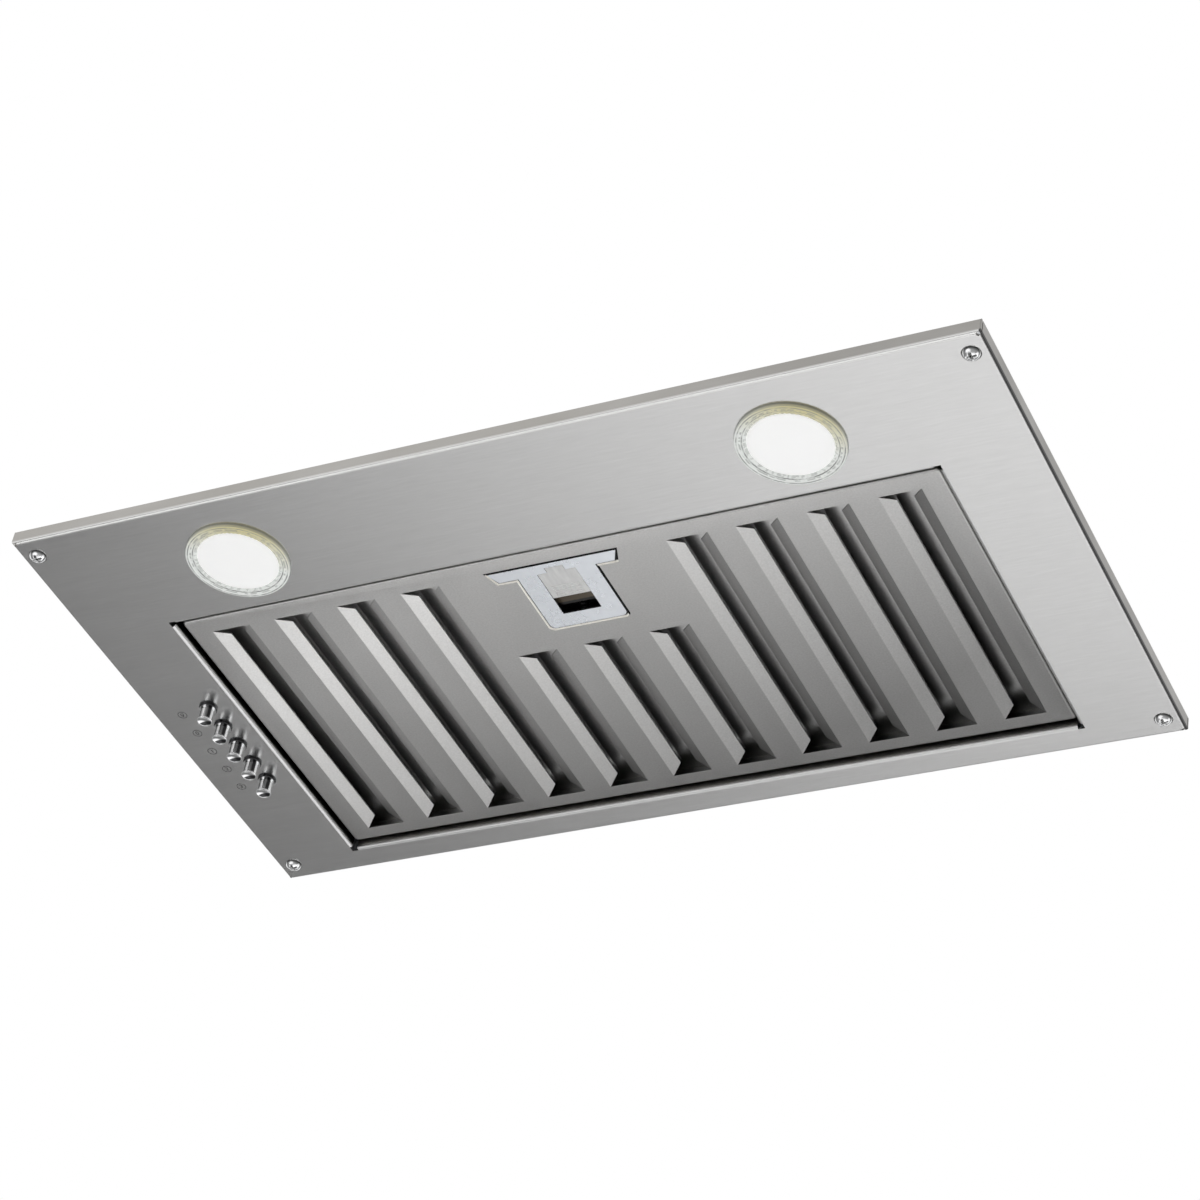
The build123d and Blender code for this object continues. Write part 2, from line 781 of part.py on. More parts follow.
# --- lamps ----------------------------------------------------------------------------
def make_lamp_rim(x, y):
    """Clear ring round the lamp, with a shelf for the lens."""
    bottom = underside - lamp_rim_proud
    ring = tube((x, y, bottom), (0, 0, 1), lamp_rim_radius, lamp_lens_radius + fixed_fit, lamp_rim_height)
    outer = [e for e in ring.edges() if e.bounding_box().max.Z < bottom + 1e-3]
    ring = ring.fillet(lamp_rim_proud * 0.8, outer)
    inner = lamp_lens_radius - lamp_shelf
    shelf_height = lamp_board_z - lamp_shelf_z
    return ring + tube((x, y, lamp_shelf_z), (0, 0, 1), lamp_rim_radius, inner, shelf_height)


def make_lamp_lens(x, y):
    """White diffuser."""
    start = (x, y, underside - lamp_lens_proud)
    lens = rod(start, (0, 0, 1), lamp_lens_radius, lamp_lens_thickness)
    low = [e for e in lens.edges() if e.bounding_box().max.Z < underside - lamp_lens_proud + 1e-3]
    return lens.fillet(lens_edge_radius, low)


def make_led_board(x, y):
    """Round board with a ring of light-emitting chips and one in the middle, on its lower side."""
    chip = Pos(x, y, lamp_board_z - led_chip_height / 2) * Box(led_chip, led_chip, led_chip_height)
    turns = [2 * pi * n / led_ring_count for n in range(led_ring_count)]
    ring = [Pos(led_ring_radius * cos(t), led_ring_radius * sin(t), 0) * chip for t in turns]
    board = rod((x, y, lamp_board_z), (0, 0, 1), lamp_can_inside - fixed_fit, lamp_board)
    return fuse([board, chip, *ring])


def make_lamp_body(x, y):
    """Can with two ears, heat-sink fins on top and cable entries at both sides."""
    can = rod((x, y, 0), (0, 0, 1), lamp_can_radius, lamp_can_height)
    reach = lamp_ear_reach
    can += block(x - reach, x + reach, y - lamp_ear_half, y + lamp_ear_half, 0, housing_sheet)
    for side in (-1, 1):
        ends = sorted((x + side * (lamp_can_radius - 2), x + side * (lamp_can_radius + lamp_entry)))
        half = 2 * lead_radius
        can += block(ends[0], ends[1], y - half, y + half, lead_height - half, lead_height + half)
        can -= stud_room(x + side * lamp_stud_reach, y)
    can -= rod((x, y, -1), (0, 0, 1), lamp_can_inside, lamp_board_z + lamp_board + 1)
    pitch = 2 * lamp_can_radius / (lamp_fin_count + 1)
    for n in range(lamp_fin_count):
        groove_y = y + (n - (lamp_fin_count - 1) / 2) * pitch
        top = lamp_can_height
        can -= block(
            x - lamp_can_radius, x + lamp_can_radius, groove_y - lamp_fin_gap / 2,
            groove_y + lamp_fin_gap / 2, top - lamp_fin_depth, top,
        )
    return can


def stud_room(x, y):
    """Clear space for a stud and its nut."""
    free = rod((x, y, housing_sheet), (0, 0, 1), nut_across_flats / 2 + nut_room, stud_length)
    return free + stud_hole(x, y)


# --- buttons and switch ---------------------------------------------------------------
def make_bezel(y):
    """Collar below the plate and its tube through the plate, up to the switch."""
    start = (button_x, y, underside - bezel_collar)
    collar = rod(start, (0, 0, 1), bezel_collar_radius, bezel_collar)
    low = [e for e in collar.edges() if e.bounding_box().max.Z < underside - bezel_collar + 1e-3]
    collar = collar.fillet(bezel_edge_radius, low)
    neck = rod((button_x, y, underside), (0, 0, 1), bezel_tube_radius, switch_base - underside)
    return (collar + neck) - rod(start, (0, 0, 1), bezel_bore, switch_base + bezel_collar + plate_sheet)


def make_button(y):
    """Push button: flared cap, body in the bezel and stem in the switch."""
    tip = underside - button_projection
    cap_top = tip + button_cap_height
    shoulder = switch_base - button_travel - button_shoulder_gap
    profile = [
        (0, tip), (button_cap_radius - button_cap_bevel, tip), (button_cap_radius, tip + button_cap_bevel),
        (button_cap_radius, tip + button_cap_rim), (button_body_radius, cap_top),
        (button_body_radius, shoulder),
        (button_stem_radius, shoulder), (button_stem_radius, button_stem_end), (0, button_stem_end),
    ]
    body = revolve(Plane.XZ * Polygon(*profile, align=None), Axis.Z)
    return Pos(button_x, y, 0) * body


def make_switch_block():
    """Five-gang push switch with a bore for each button's stem and a row of tabs on top."""
    first = button_ys[0] - switch_end_margin
    last = button_ys[-1] + switch_end_margin
    top = switch_base + switch_height
    case = block(button_x - switch_half_width, button_x + switch_half_width, first, last, switch_base, top)
    case = case.fillet(1.0, case.edges().filter_by(Axis.Z))
    depth = button_stem_end + button_travel + switch_bore_spare - switch_base
    for y in button_ys:
        case -= rod((button_x, y, switch_base), (0, 0, 1), button_stem_radius + running_fit, depth)
    tabs = [
        Pos(button_x + side * tab_spread, y, top + tab_length / 2) * Box(tab_sheet, tab_width, tab_length)
        for y in button_ys for side in (-1, 1)
    ]
    return fuse([case, *tabs])


# --- plenum ---------------------------------------------------------------------------
def plenum_profile(inset):
    """Side outline of the plenum in (y, z), moved inwards by an amount; open below."""
    lean_y = plenum_top_front - plenum_front
    lean_z = plenum_height - plenum_front_rise
    slope = sqrt(lean_y**2 + lean_z**2)
    knee = plenum_front_rise - inset * (slope - lean_z) / lean_y
    shift = inset * (slope - lean_y) / lean_z
    return [
        (plenum_front + inset, 0), (plenum_front + inset, knee),
        (plenum_top_front + shift, plenum_height - inset), (plenum_back - inset, plenum_height - inset),
        (plenum_back - inset, 0),
    ]


def plenum_wedge(inset):
    """Space between the two leaning end panels, moved inwards by an amount."""
    bottom = plenum_half - inset
    top = bottom - plenum_taper
    outline = [(-bottom, 0), (bottom, 0), (top, plenum_height), (-top, plenum_height)]
    return prism_y(outline, 2 * plenum_front, 2 * plenum_back)


def plenum_solid(inset):
    """Plenum profile over the full width, moved inwards by an amount."""
    return prism_x(plenum_profile(inset), -half_width, half_width)


def collar_screw_places():
    """Screws through the collar's flange: two rows that also hold the scrolls, two at each end."""
    rows = [collar_front - scroll_flange / 2, collar_back + scroll_flange / 2]
    places = [(side * collar_half * share, y) for side in (-1, 1) for share in (0.42, 0.9) for y in rows]
    end_x = collar_half + collar_flange / 2
    places += [(side * end_x, collar_centre_y + s * duct_depth / 4) for side in (-1, 1) for s in (-1, 1)]
    return places


def strap_screw_places():
    """Screws through the plenum's top into the motor strap's flanges."""
    reach = motor_radius + strap_sheet - strap_flange / 2 - 1
    return [(x, axis_y + s * reach) for x in (-strap_width / 4, strap_width / 4) for s in (-1, 1)]


def end_screw_places():
    """Screws through the wrapper into each end panel's lip: front, top and back."""
    z = plenum_front_rise / 2
    lip = end_lip / 2 + housing_sheet
    low = plenum_half - plenum_taper * z / plenum_height - lip
    high = plenum_half - plenum_taper - lip
    places = []
    for side in (-1, 1):
        places.append(((side * low, plenum_front, z), (0, 1, 0)))
        places.append(((side * low, plenum_back, z), (0, -1, 0)))
        for share in (0.2, 0.8):
            y = plenum_top_front + share * (plenum_back - plenum_top_front)
            places.append(((side * high, y, plenum_height), (0, 0, -1)))
    return places


def clamp_screw_places():
    """Screws that hold the capacitor's clamp to the plenum's front wall."""
    reach = capacitor_radius + clamp_sheet + clamp_foot / 2
    return [(capacitor_x, plenum_front, capacitor_height + s * reach) for s in (-1, 1)]


def control_screw_places():
    """Screws that hold the control box's cover."""
    inset = control_foot / 2 + housing_sheet
    return [(knockout_x, control_front + inset), (knockout_x, control_back - inset)]


def sheet_screw_set():
    """Every sheet screw: (point under the head, direction of the shank)."""
    down = (0, 0, -1)
    flange = plenum_height + housing_sheet
    places = [((x, y, flange), down) for x, y in collar_screw_places()]
    places += [((x, y, plenum_height), down) for x, y in strap_screw_places()]
    places += end_screw_places()
    places += [(point, (0, 1, 0)) for point in clamp_screw_places()]
    cover = control_height + housing_sheet
    places += [((x, y, cover), down) for x, y in control_screw_places()]
    return places


def screw_holes():
    """Holes for all the sheet screws."""
    return [screw_hole(point, direction) for point, direction in sheet_screw_set()]


def make_plenum_wrapper():
    """Front, top and back of the plenum in one bent sheet, with its flanges and duct ports."""
    shell = plenum_solid(0) - plenum_solid(housing_sheet)
    shell = shell & plenum_wedge(housing_sheet)
    foot = plenum_half - housing_sheet
    front = block(-foot, foot, plenum_front - plenum_flange, plenum_front + housing_sheet, 0, housing_sheet)
    back = block(-foot, foot, plenum_back - housing_sheet, plenum_back + plenum_flange, 0, housing_sheet)
    shell = fuse([shell, (front + back) & plenum_wedge(housing_sheet)])
    for side in (-1, 1):
        ends = sorted((side * (motor_bay_half + housing_sheet), side * (port_half - housing_sheet)))
        shell -= block(
            ends[0], ends[1], port_front + housing_sheet, port_back - housing_sheet,
            ceiling - 1, plenum_height + 1,
        )
    holes = screw_holes() + [stud_hole(x, y) for x, y in stud_places()]
    scallop = lamp_can_radius + lamp_scallop
    holes += [rod((x, y, -1), (0, 0, 1), scallop, lamp_can_height + 2) for x, y in lamp_places()]
    return shell - holes


def make_plenum_end():
    """Right-hand end panel, with a lip that sits inside the wrapper."""
    panel = plenum_solid(0) & (plenum_wedge(0) - plenum_wedge(housing_sheet))
    lip = plenum_solid(housing_sheet) - plenum_solid(2 * housing_sheet)
    lip = lip & (plenum_wedge(housing_sheet) - plenum_wedge(housing_sheet + end_lip))
    clear_rim = block(0, half_width, -half_depth, half_depth, 0, flange_top + 1)
    right = block(0, half_width, -half_depth, half_depth, 0, plenum_height)
    return ((panel & right) + ((lip & right) - clear_rim)) - screw_holes()


# --- collar and dampers ---------------------------------------------------------------
def make_duct_collar():
    """Rectangular collar that the duct slides over, with a flange and damper stops."""
    flange_half = collar_half + collar_flange
    base = block(
        -flange_half, flange_half, collar_front - collar_flange, collar_back + collar_flange,
        plenum_height, plenum_height + housing_sheet,
    )
    wall = block(-collar_half, collar_half, collar_front, collar_back, plenum_height, collar_top)
    inside = block(-port_half, port_half, port_front, port_back, plenum_height - 1, collar_top + 1)
    collar = (base + wall) - inside
    stop_top = rod_z - damper_sheet / 2 - damper_rest_gap
    for x in (-port_half / 2, port_half / 2):
        for wall_y, inward in ((port_front, 1), (port_back, -1)):
            ends = sorted((wall_y - inward * housing_sheet / 2, wall_y + inward * damper_stop_reach))
            half = damper_stop_length / 2
            collar += block(x - half, x + half, ends[0], ends[1], stop_top - housing_sheet, stop_top)
    for s in (-1, 1):
        start = (-collar_half - 1, collar_centre_y + s * damper_rod_spread, rod_z)
        collar -= rod(start, (1, 0, 0), damper_rod_radius + fixed_fit, 2 * collar_half + 2)
    return collar - screw_holes()


def make_damper_rod(side):
    """Hinge rod across the collar."""
    start = (-collar_half, collar_centre_y + side * damper_rod_spread, rod_z)
    return rod(start, (1, 0, 0), damper_rod_radius, 2 * collar_half)


def make_damper_flap(side):
    """Flap with a rolled sleeve round its rod, from the middle to one long wall."""
    hinge_y = collar_centre_y + side * damper_rod_spread
    edge = (port_back if side > 0 else port_front) - side * damper_edge_gap
    half = port_half - damper_edge_gap
    sleeve = damper_rod_radius + running_fit + damper_sleeve_wall
    ends = sorted((hinge_y, edge))
    flap = block(-half, half, ends[0], ends[1], rod_z - damper_sheet / 2, rod_z + damper_sheet / 2)
    flap += rod((-half, hinge_y, rod_z), (1, 0, 0), sleeve, 2 * half)
    return flap - rod((-half - 1, hinge_y, rod_z), (1, 0, 0), damper_rod_radius + running_fit, 2 * half + 2)


# --- blower ---------------------------------------------------------------------------
def scroll_face(grow):
    """Scroll outline in (y, z): three growing arcs, then straight up to the ceiling."""
    front_c = (axis_y - scroll_step / 2, axis_z - scroll_step / 2)
    low_c = (front_c[0] + scroll_step, front_c[1])
    back_c = (low_c[0], low_c[1] + scroll_step)
    r_front = scroll_front_radius + grow
    r_low = scroll_low_radius + grow
    r_back = scroll_back_radius + grow
    lip_y = port_front + housing_sheet - grow
    lip_z = front_c[1] + sqrt(r_front**2 - (lip_y - front_c[0]) ** 2)
    back_y = back_c[0] + r_back
    half_turn = sqrt(0.5)
    start = (lip_y, lip_z)
    front = (front_c[0] - r_front, front_c[1])
    low = (low_c[0], low_c[1] - r_low)
    back = (back_y, back_c[1])
    outline = [
        ThreePointArc(start, (front_c[0] - r_front * half_turn, front_c[1] + r_front * half_turn), front),
        ThreePointArc(front, (low_c[0] - r_low * half_turn, low_c[1] - r_low * half_turn), low),
        ThreePointArc(low, (back_c[0] + r_back * half_turn, back_c[1] - r_back * half_turn), back),
        *Polyline(back, (back_y, ceiling), (lip_y, ceiling), start).edges(),
    ]
    return make_face(outline)


def make_scroll_wrap():
    """Right-hand scroll's band, open at the ceiling, with a flange along each side."""
    band = scroll_face(housing_sheet) - scroll_face(0)
    wrap = extrude(Plane.YZ.offset(motor_bay_half) * band, port_half - motor_bay_half, dir=(1, 0, 0))
    for wall_y, outward in ((port_front, -1), (port_back, 1)):
        reach = scroll_flange + housing_sheet
        ends = sorted((wall_y - outward * housing_sheet / 2, wall_y + outward * reach))
        wrap += block(motor_bay_half, port_half, ends[0], ends[1], ceiling - housing_sheet, ceiling)
    return wrap - screw_holes()


def make_scroll_side(x, hole):
    """Side plate inside the right-hand scroll's band, with a round hole about the shaft."""
    plate = extrude(Plane.YZ.offset(x) * scroll_face(0), housing_sheet, dir=(1, 0, 0))
    return plate - rod((x - housing_sheet, axis_y, axis_z), (1, 0, 0), hole, 3 * housing_sheet)


def make_inlet_ring():
    """Right-hand inlet: flange on the scroll's outer side and a throat into the wheel."""
    centre = (axis_y, axis_z)
    outer = inlet_radius + housing_sheet
    flange = tube((port_half, *centre), (1, 0, 0), inlet_radius + inlet_flange, inlet_radius, housing_sheet)
    throat = tube((port_half - inlet_reach, *centre), (1, 0, 0), outer, inlet_radius, inlet_reach)
    lip = tube((port_half, *centre), (1, 0, 0), inlet_radius + inlet_lip_width, inlet_radius, inlet_lip)
    mouth = [e for e in lip.edges() if e.bounding_box().min.X > port_half + inlet_lip / 2]
    return fuse([flange, throat, lip.fillet(inlet_lip_radius, mouth)])


def make_wheel_hub():
    """Right-hand wheel's back disc with the hub that grips the shaft."""
    start = (wheel_inner_x, axis_y, axis_z)
    hub = rod(start, (1, 0, 0), wheel_radius, wheel_disc) + rod(start, (1, 0, 0), hub_radius, hub_length)
    back = (wheel_inner_x - 1, axis_y, axis_z)
    return hub - rod(back, (1, 0, 0), shaft_radius, hub_length + 2) - set_screw_cut()


def make_wheel_ring():
    """Ring that holds the right-hand blades together at the inlet."""
    start = (wheel_outer_x - wheel_ring, axis_y, axis_z)
    return tube(start, (1, 0, 0), wheel_radius, wheel_inner_radius, wheel_ring)


def blade_section():
    """Bowed blade across the wheel's ring, in the wheel's plane."""
    middle = (wheel_inner_radius + wheel_radius) / 2
    inner = wheel_inner_radius + blade_inset
    outer = wheel_radius - blade_inset
    curve = ThreePointArc((inner, 0), (middle, blade_bow), (outer, 0))
    back = ThreePointArc(
        (outer, blade_thickness), (middle, blade_bow + blade_thickness), (inner, blade_thickness)
    )
    ends = [Line((x, 0), (x, blade_thickness)) for x in (outer, inner)]
    return make_face([curve, ends[0], back, ends[1]])


def make_wheel_blades():
    """Right-hand blades, each from the disc to the ring."""
    start_x = wheel_inner_x + wheel_disc
    blades = []
    for n in range(blade_count):
        turn = 2 * pi * n / blade_count
        plane = Plane(origin=(start_x, axis_y, axis_z), x_dir=(0, cos(turn), sin(turn)), z_dir=(1, 0, 0))
        length = wheel_outer_x - wheel_ring - start_x
        blades.append(extrude(plane * blade_section(), length, dir=(1, 0, 0)))
    return blades


def set_screw_x():
    """Middle of the hub's free length."""
    return wheel_inner_x + (wheel_disc + hub_length) / 2


def set_screw_cut():
    """Radial hole in the right-hand hub."""
    return rod((set_screw_x(), axis_y, axis_z), (0, 0, 1), set_screw_radius + fixed_fit, hub_radius + 1)


def make_set_screw():
    """Headless screw from the shaft to the hub's surface, with a square socket."""
    start = (set_screw_x(), axis_y, axis_z + shaft_radius)
    screw = rod(start, (0, 0, 1), set_screw_radius, hub_radius - shaft_radius)
    return screw - Pos(set_screw_x(), axis_y, axis_z + hub_radius) * Box(
        set_screw_socket, set_screw_socket, 2 * set_screw_socket
    )


def lead_direction():
    """Unit direction in (y, z) from the motor lead's corner to the motor's axis."""
    run_y = axis_y - motor_lead_y
    run_z = axis_z - motor_lead_height
    length = sqrt(run_y**2 + run_z**2)
    return run_y / length, run_z / length, length


def make_motor_shell():
    """Motor's steel can with the gland for its lead."""
    shell = rod((-motor_half_length, axis_y, axis_z), (1, 0, 0), motor_radius, 2 * motor_half_length)
    dy, dz, _ = lead_direction()
    reach = motor_radius + gland_length
    start = (-motor_lead_x, axis_y - dy * reach, axis_z - dz * reach)
    shell += rod(start, (0, dy, dz), gland_radius, gland_length + 2)
    bore = motor_radius - motor_wall
    return shell - rod((-motor_half_length, axis_y, axis_z), (1, 0, 0), bore, 2 * motor_half_length)


def make_stator():
    """Laminated ring inside the can."""
    start = (-stator_half_length, axis_y, axis_z)
    inner = rotor_radius + air_gap
    return tube(start, (1, 0, 0), motor_radius - motor_wall, inner, 2 * stator_half_length)


def make_winding():
    """Right-hand winding head, a rounded ring against the stator."""
    start = (stator_half_length, axis_y, axis_z)
    outer = motor_radius - motor_wall - winding_gap
    ring = tube(start, (1, 0, 0), outer, rotor_radius + winding_gap, winding_depth)
    far = [e for e in ring.edges() if e.bounding_box().min.X > start[0] + winding_depth / 2]
    return ring.fillet(winding_gap, far)


def make_end_bell():
    """Right-hand end bell with its bearing boss."""
    bell = rod((motor_half_length, axis_y, axis_z), (1, 0, 0), motor_radius, motor_end_sheet)
    bell += rod((motor_end_x, axis_y, axis_z), (1, 0, 0), motor_boss_radius, motor_boss)
    return bell - rod((motor_half_length - 1, axis_y, axis_z), (1, 0, 0), bearing_radius, motor_boss + 8)


def make_bearing():
    """Right-hand sleeve bearing."""
    length = motor_face_x - motor_half_length
    bore = shaft_radius + running_fit
    return tube((motor_half_length, axis_y, axis_z), (1, 0, 0), bearing_radius, bore, length)


def make_shaft():
    """Double-ended motor shaft."""
    return rod((-shaft_half, axis_y, axis_z), (1, 0, 0), shaft_radius, 2 * shaft_half)


def make_rotor():
    """Rotor core pressed on the shaft."""
    start = (-rotor_half_length, axis_y, axis_z)
    return tube(start, (1, 0, 0), rotor_radius, shaft_radius, 2 * rotor_half_length)


def make_motor_strap():
    """U strap under the motor, bent in at the top and screwed to the ceiling."""
    inner = motor_radius
    outer = inner + strap_sheet
    half = strap_width / 2
    start = (-half, axis_y, axis_z)
    hoop = tube(start, (1, 0, 0), outer, inner, strap_width)
    lower = block(-half, half, axis_y - outer, axis_y + outer, axis_z - outer, axis_z)
    strap = hoop & lower
    for side in (-1, 1):
        leg = sorted((axis_y + side * inner, axis_y + side * outer))
        strap += block(-half, half, leg[0], leg[1], axis_z, ceiling)
        flange = sorted((axis_y + side * outer, axis_y + side * (outer - strap_flange)))
        strap += block(-half, half, flange[0], flange[1], ceiling - strap_sheet, ceiling)
    return strap - screw_holes()


def make_capacitor():
    """Motor run capacitor along the plenum's front wall, with two tabs at one end."""
    y = capacitor_y()
    start = (capacitor_x - capacitor_length / 2, y, capacitor_height)
    can = rod(start, (1, 0, 0), capacitor_radius, capacitor_length)
    rims = can.edges().filter_by(GeomType.CIRCLE)
    can = can.fillet(capacitor_rim, rims)
    end = capacitor_x + capacitor_length / 2
    tab = Pos(end, y, capacitor_height) * Box(2 * tab_length, tab_sheet, tab_width)
    tabs = [Pos(0, s * tab_spread, 0) * tab for s in (-1, 1)]
    return fuse([can, *tabs])


def capacitor_y():
    """Distance that leaves the clamp's band between the capacitor and the wall."""
    return plenum_front + housing_sheet + clamp_sheet + capacitor_radius


def make_capacitor_clamp():
    """Band round the capacitor with two feet on the front wall."""
    y = capacitor_y()
    start_x = capacitor_x - clamp_width / 2
    outer = capacitor_radius + clamp_sheet
    clamp = tube((start_x, y, capacitor_height), (1, 0, 0), outer, capacitor_radius, clamp_width)
    wall = plenum_front + housing_sheet
    low = capacitor_height - outer - clamp_foot
    high = capacitor_height + outer + clamp_foot
    clamp += block(start_x, start_x + clamp_width, wall, wall + clamp_sheet, low, high)
    room = rod((start_x - 1, y, capacitor_height), (1, 0, 0), capacitor_radius, clamp_width + 2)
    return clamp - room - [screw_hole(point, (0, 1, 0)) for point in clamp_screw_places()]


# --- control box and wiring -----------------------------------------------------------
def make_control_box():
    """Open channel beside the plenum, with feet below and lugs for its cover above."""
    outer = block(control_outer, control_inner, control_front, control_back, 0, control_height)
    x0 = control_outer + housing_sheet
    x1 = control_inner - housing_sheet
    y0 = control_front + housing_sheet
    y1 = control_back - housing_sheet
    box = outer - block(x0, x1, y0, y1, 0, control_height)
    for y, inward in ((control_front, 1), (control_back, -1)):
        ends = sorted((y, y + inward * (control_foot + housing_sheet)))
        for z in (0, control_height - housing_sheet):
            box += block(control_outer, control_inner, ends[0], ends[1], z, z + housing_sheet)
    box -= [stud_hole(x, y) for x, y in stud_places()]
    box -= [screw_hole(point, direction) for point, direction in sheet_screw_set()[-2:]]
    box -= lead_passage()
    front_hole = (driver_lead_x(), control_front - 1, lead_height)
    return box - rod(front_hole, (0, 1, 0), lead_radius + fixed_fit, 3)


def driver_lead_x():
    """Side place of the lead between the driver and the control box."""
    return knockout_x


def make_control_cover():
    """Flat cover with the knock-out hole for the supply cable."""
    top = control_height + housing_sheet
    cover = block(control_outer, control_inner, control_front, control_back, control_height, top)
    cover -= rod((knockout_x, knockout_y, control_height - 1), (0, 0, 1), knockout_radius, 3)
    return cover - [screw_hole(point, direction) for point, direction in sheet_screw_set()[-2:]]


def make_terminal_block():
    """Screw terminal block on the plate, behind the switch."""
    x0 = knockout_x - terminal_width / 2
    y0 = knockout_y - terminal_depth / 2
    body = block(x0, x0 + terminal_width, y0, y0 + terminal_depth, 0, terminal_height)
    pitch = terminal_depth / terminal_poles
    for n in range(terminal_poles):
        y = y0 + (n + 0.5) * pitch
        well = (knockout_x, y, terminal_height - terminal_screw_depth)
        body -= rod(well, (0, 0, 1), terminal_screw_radius, 2 * terminal_screw_depth)
        entry = (x0 - terminal_wire_depth, y, terminal_height / 2)
        body -= rod(entry, (1, 0, 0), terminal_wire_radius, 2 * terminal_wire_depth)
    return body


def make_lamp_driver():
    """Driver box for the lamps, with two feet."""
    x1 = driver_left + driver_width
    y1 = driver_front + driver_depth
    body = block(driver_left, x1, driver_front, y1, 0, driver_height)
    body = body.fillet(driver_edge_radius, body.edges().filter_by(Axis.Z))
    middle = driver_left + driver_width / 2
    foot0 = middle - driver_foot_half
    foot1 = middle + driver_foot_half
    body += block(foot0, foot1, driver_front - control_foot, y1 + control_foot, 0, housing_sheet)
    return body - [stud_hole(x, y) for x, y in stud_places()]


def make_lamp_leads():
    """Straight leads: driver to left lamp, lamp to lamp, control box to driver."""
    reach = lamp_can_radius + lamp_entry
    first = rod((driver_left + driver_width, lamp_y, lead_height), (1, 0, 0), lead_radius,
                -lamp_x - reach - driver_left - driver_width)
    second = rod((-lamp_x + reach, lamp_y, lead_height), (1, 0, 0), lead_radius, 2 * (lamp_x - reach))
    start = driver_front + driver_depth
    length = control_front + housing_sheet + lead_end - start
    third = rod((driver_lead_x(), start, lead_height), (0, 1, 0), lead_radius, length)
    return [first, second, third]


def make_wiring_cover():
    """Channel over the lead between the lamps, with a flange on each side."""
    half = lamp_x - lamp_can_radius - lamp_entry - cover_end_gap
    wall = cover_width / 2
    cover = block(-half, half, lamp_y - wall, lamp_y + wall, 0, cover_height)
    inner = wall - housing_sheet
    cover -= block(-half, half, lamp_y - inner, lamp_y + inner, 0, cover_height - housing_sheet)
    for side in (-1, 1):
        ends = sorted((lamp_y + side * inner, lamp_y + side * (wall + cover_flange)))
        cover += block(-half, half, ends[0], ends[1], 0, housing_sheet)
    return cover - [stud_hole(x, y) for x, y in stud_places()]


def make_motor_lead():
    """Lead from the control box through the plenum's end, then up to the motor's gland."""
    dy, dz, distance = lead_direction()
    corner = Vector(-motor_lead_x, motor_lead_y, motor_lead_height)
    reach = motor_radius + gland_length
    end = Vector(-motor_lead_x, axis_y - dy * reach, axis_z - dz * reach)
    start = Vector(control_inner - housing_sheet - lead_end, motor_lead_y, motor_lead_height)
    path = FilletPolyline(start, corner, end, radius=motor_lead_bend * (distance - reach))
    section = Plane(origin=path @ 0, z_dir=path % 0) * Circle(motor_lead_radius)
    return sweep(section, path)


def lead_passage():
    """Hole for the motor lead's grommet through the box's wall and the plenum's end panel."""
    start = (control_inner - 2, motor_lead_y, motor_lead_height)
    length = plenum_taper + control_gap + 3
    return rod(start, (1, 0, 0), motor_lead_radius + fixed_fit + grommet_wall, length)


def make_lead_grommet():
    """Rubber bush round the motor lead where it passes the two sheets."""
    reach = plenum_taper * motor_lead_height / plenum_height + control_gap + 2 * housing_sheet + grommet_lip
    start = (control_inner - housing_sheet, motor_lead_y, motor_lead_height)
    outer = motor_lead_radius + fixed_fit + grommet_wall
    bush = tube(start, (1, 0, 0), outer, motor_lead_radius + fixed_fit, reach)
    back = (control_inner - housing_sheet - grommet_lip, motor_lead_y, motor_lead_height)
    return bush + tube(back, (1, 0, 0), outer + grommet_lip, motor_lead_radius + fixed_fit, grommet_lip)


# --- write every node -----------------------------------------------------------------
def write_plate_group():
    """Face plate, its screws, studs and nuts."""
    write("face_plate", make_face_plate())
    write("corner_screws", *[make_corner_screw(x, y) for x, y in screw_places()])
    write("weld_studs", *[rod((x, y, 0), (0, 0, 1), stud_radius, stud_length) for x, y in stud_places()])
    write("flange_nuts", *[make_nut(x, y) for x, y in stud_places()])
    write("sheet_screws", *[sheet_screw(point, direction) for point, direction in sheet_screw_set()])


def write_filter_group():
    """Baffle filter, its pins and its latch."""
    write("baffle_face", make_baffle_face())
    write("baffle_back", make_baffle_back())
    pin = make_pivot_pin()
    write("filter_pivot_pins", pin, mirrored(pin))
    write("latch_plate", make_latch_plate())
    write("latch_slider", make_latch_slider())
    write("latch_spring", make_latch_spring())
    write("latch_strike", make_latch_strike())


def write_lamp_group():
    """Both lamps, their driver, leads and cover."""
    for side, (x, y) in zip(("left", "right"), lamp_places()):
        write(f"lamp_rim_{side}", make_lamp_rim(x, y))
        write(f"lamp_lens_{side}", make_lamp_lens(x, y))
        write(f"lamp_body_{side}", make_lamp_body(x, y))
    write("lamp_led_boards", *[make_led_board(x, y) for x, y in lamp_places()])
    write("lamp_driver", make_lamp_driver())
    write("lamp_leads", *make_lamp_leads())
    write("wiring_cover", make_wiring_cover())


def write_control_group():
    """Buttons, switch, control box and terminals."""
    write("switch_bezels", *[make_bezel(y) for y in button_ys])
    write("switch_block", make_switch_block())
    for name, y in zip(("light", "off", "low", "medium", "high"), button_ys):
        write(f"button_{name}", make_button(y))
    write("control_box", make_control_box())
    write("control_cover", make_control_cover())
    write("terminal_block", make_terminal_block())


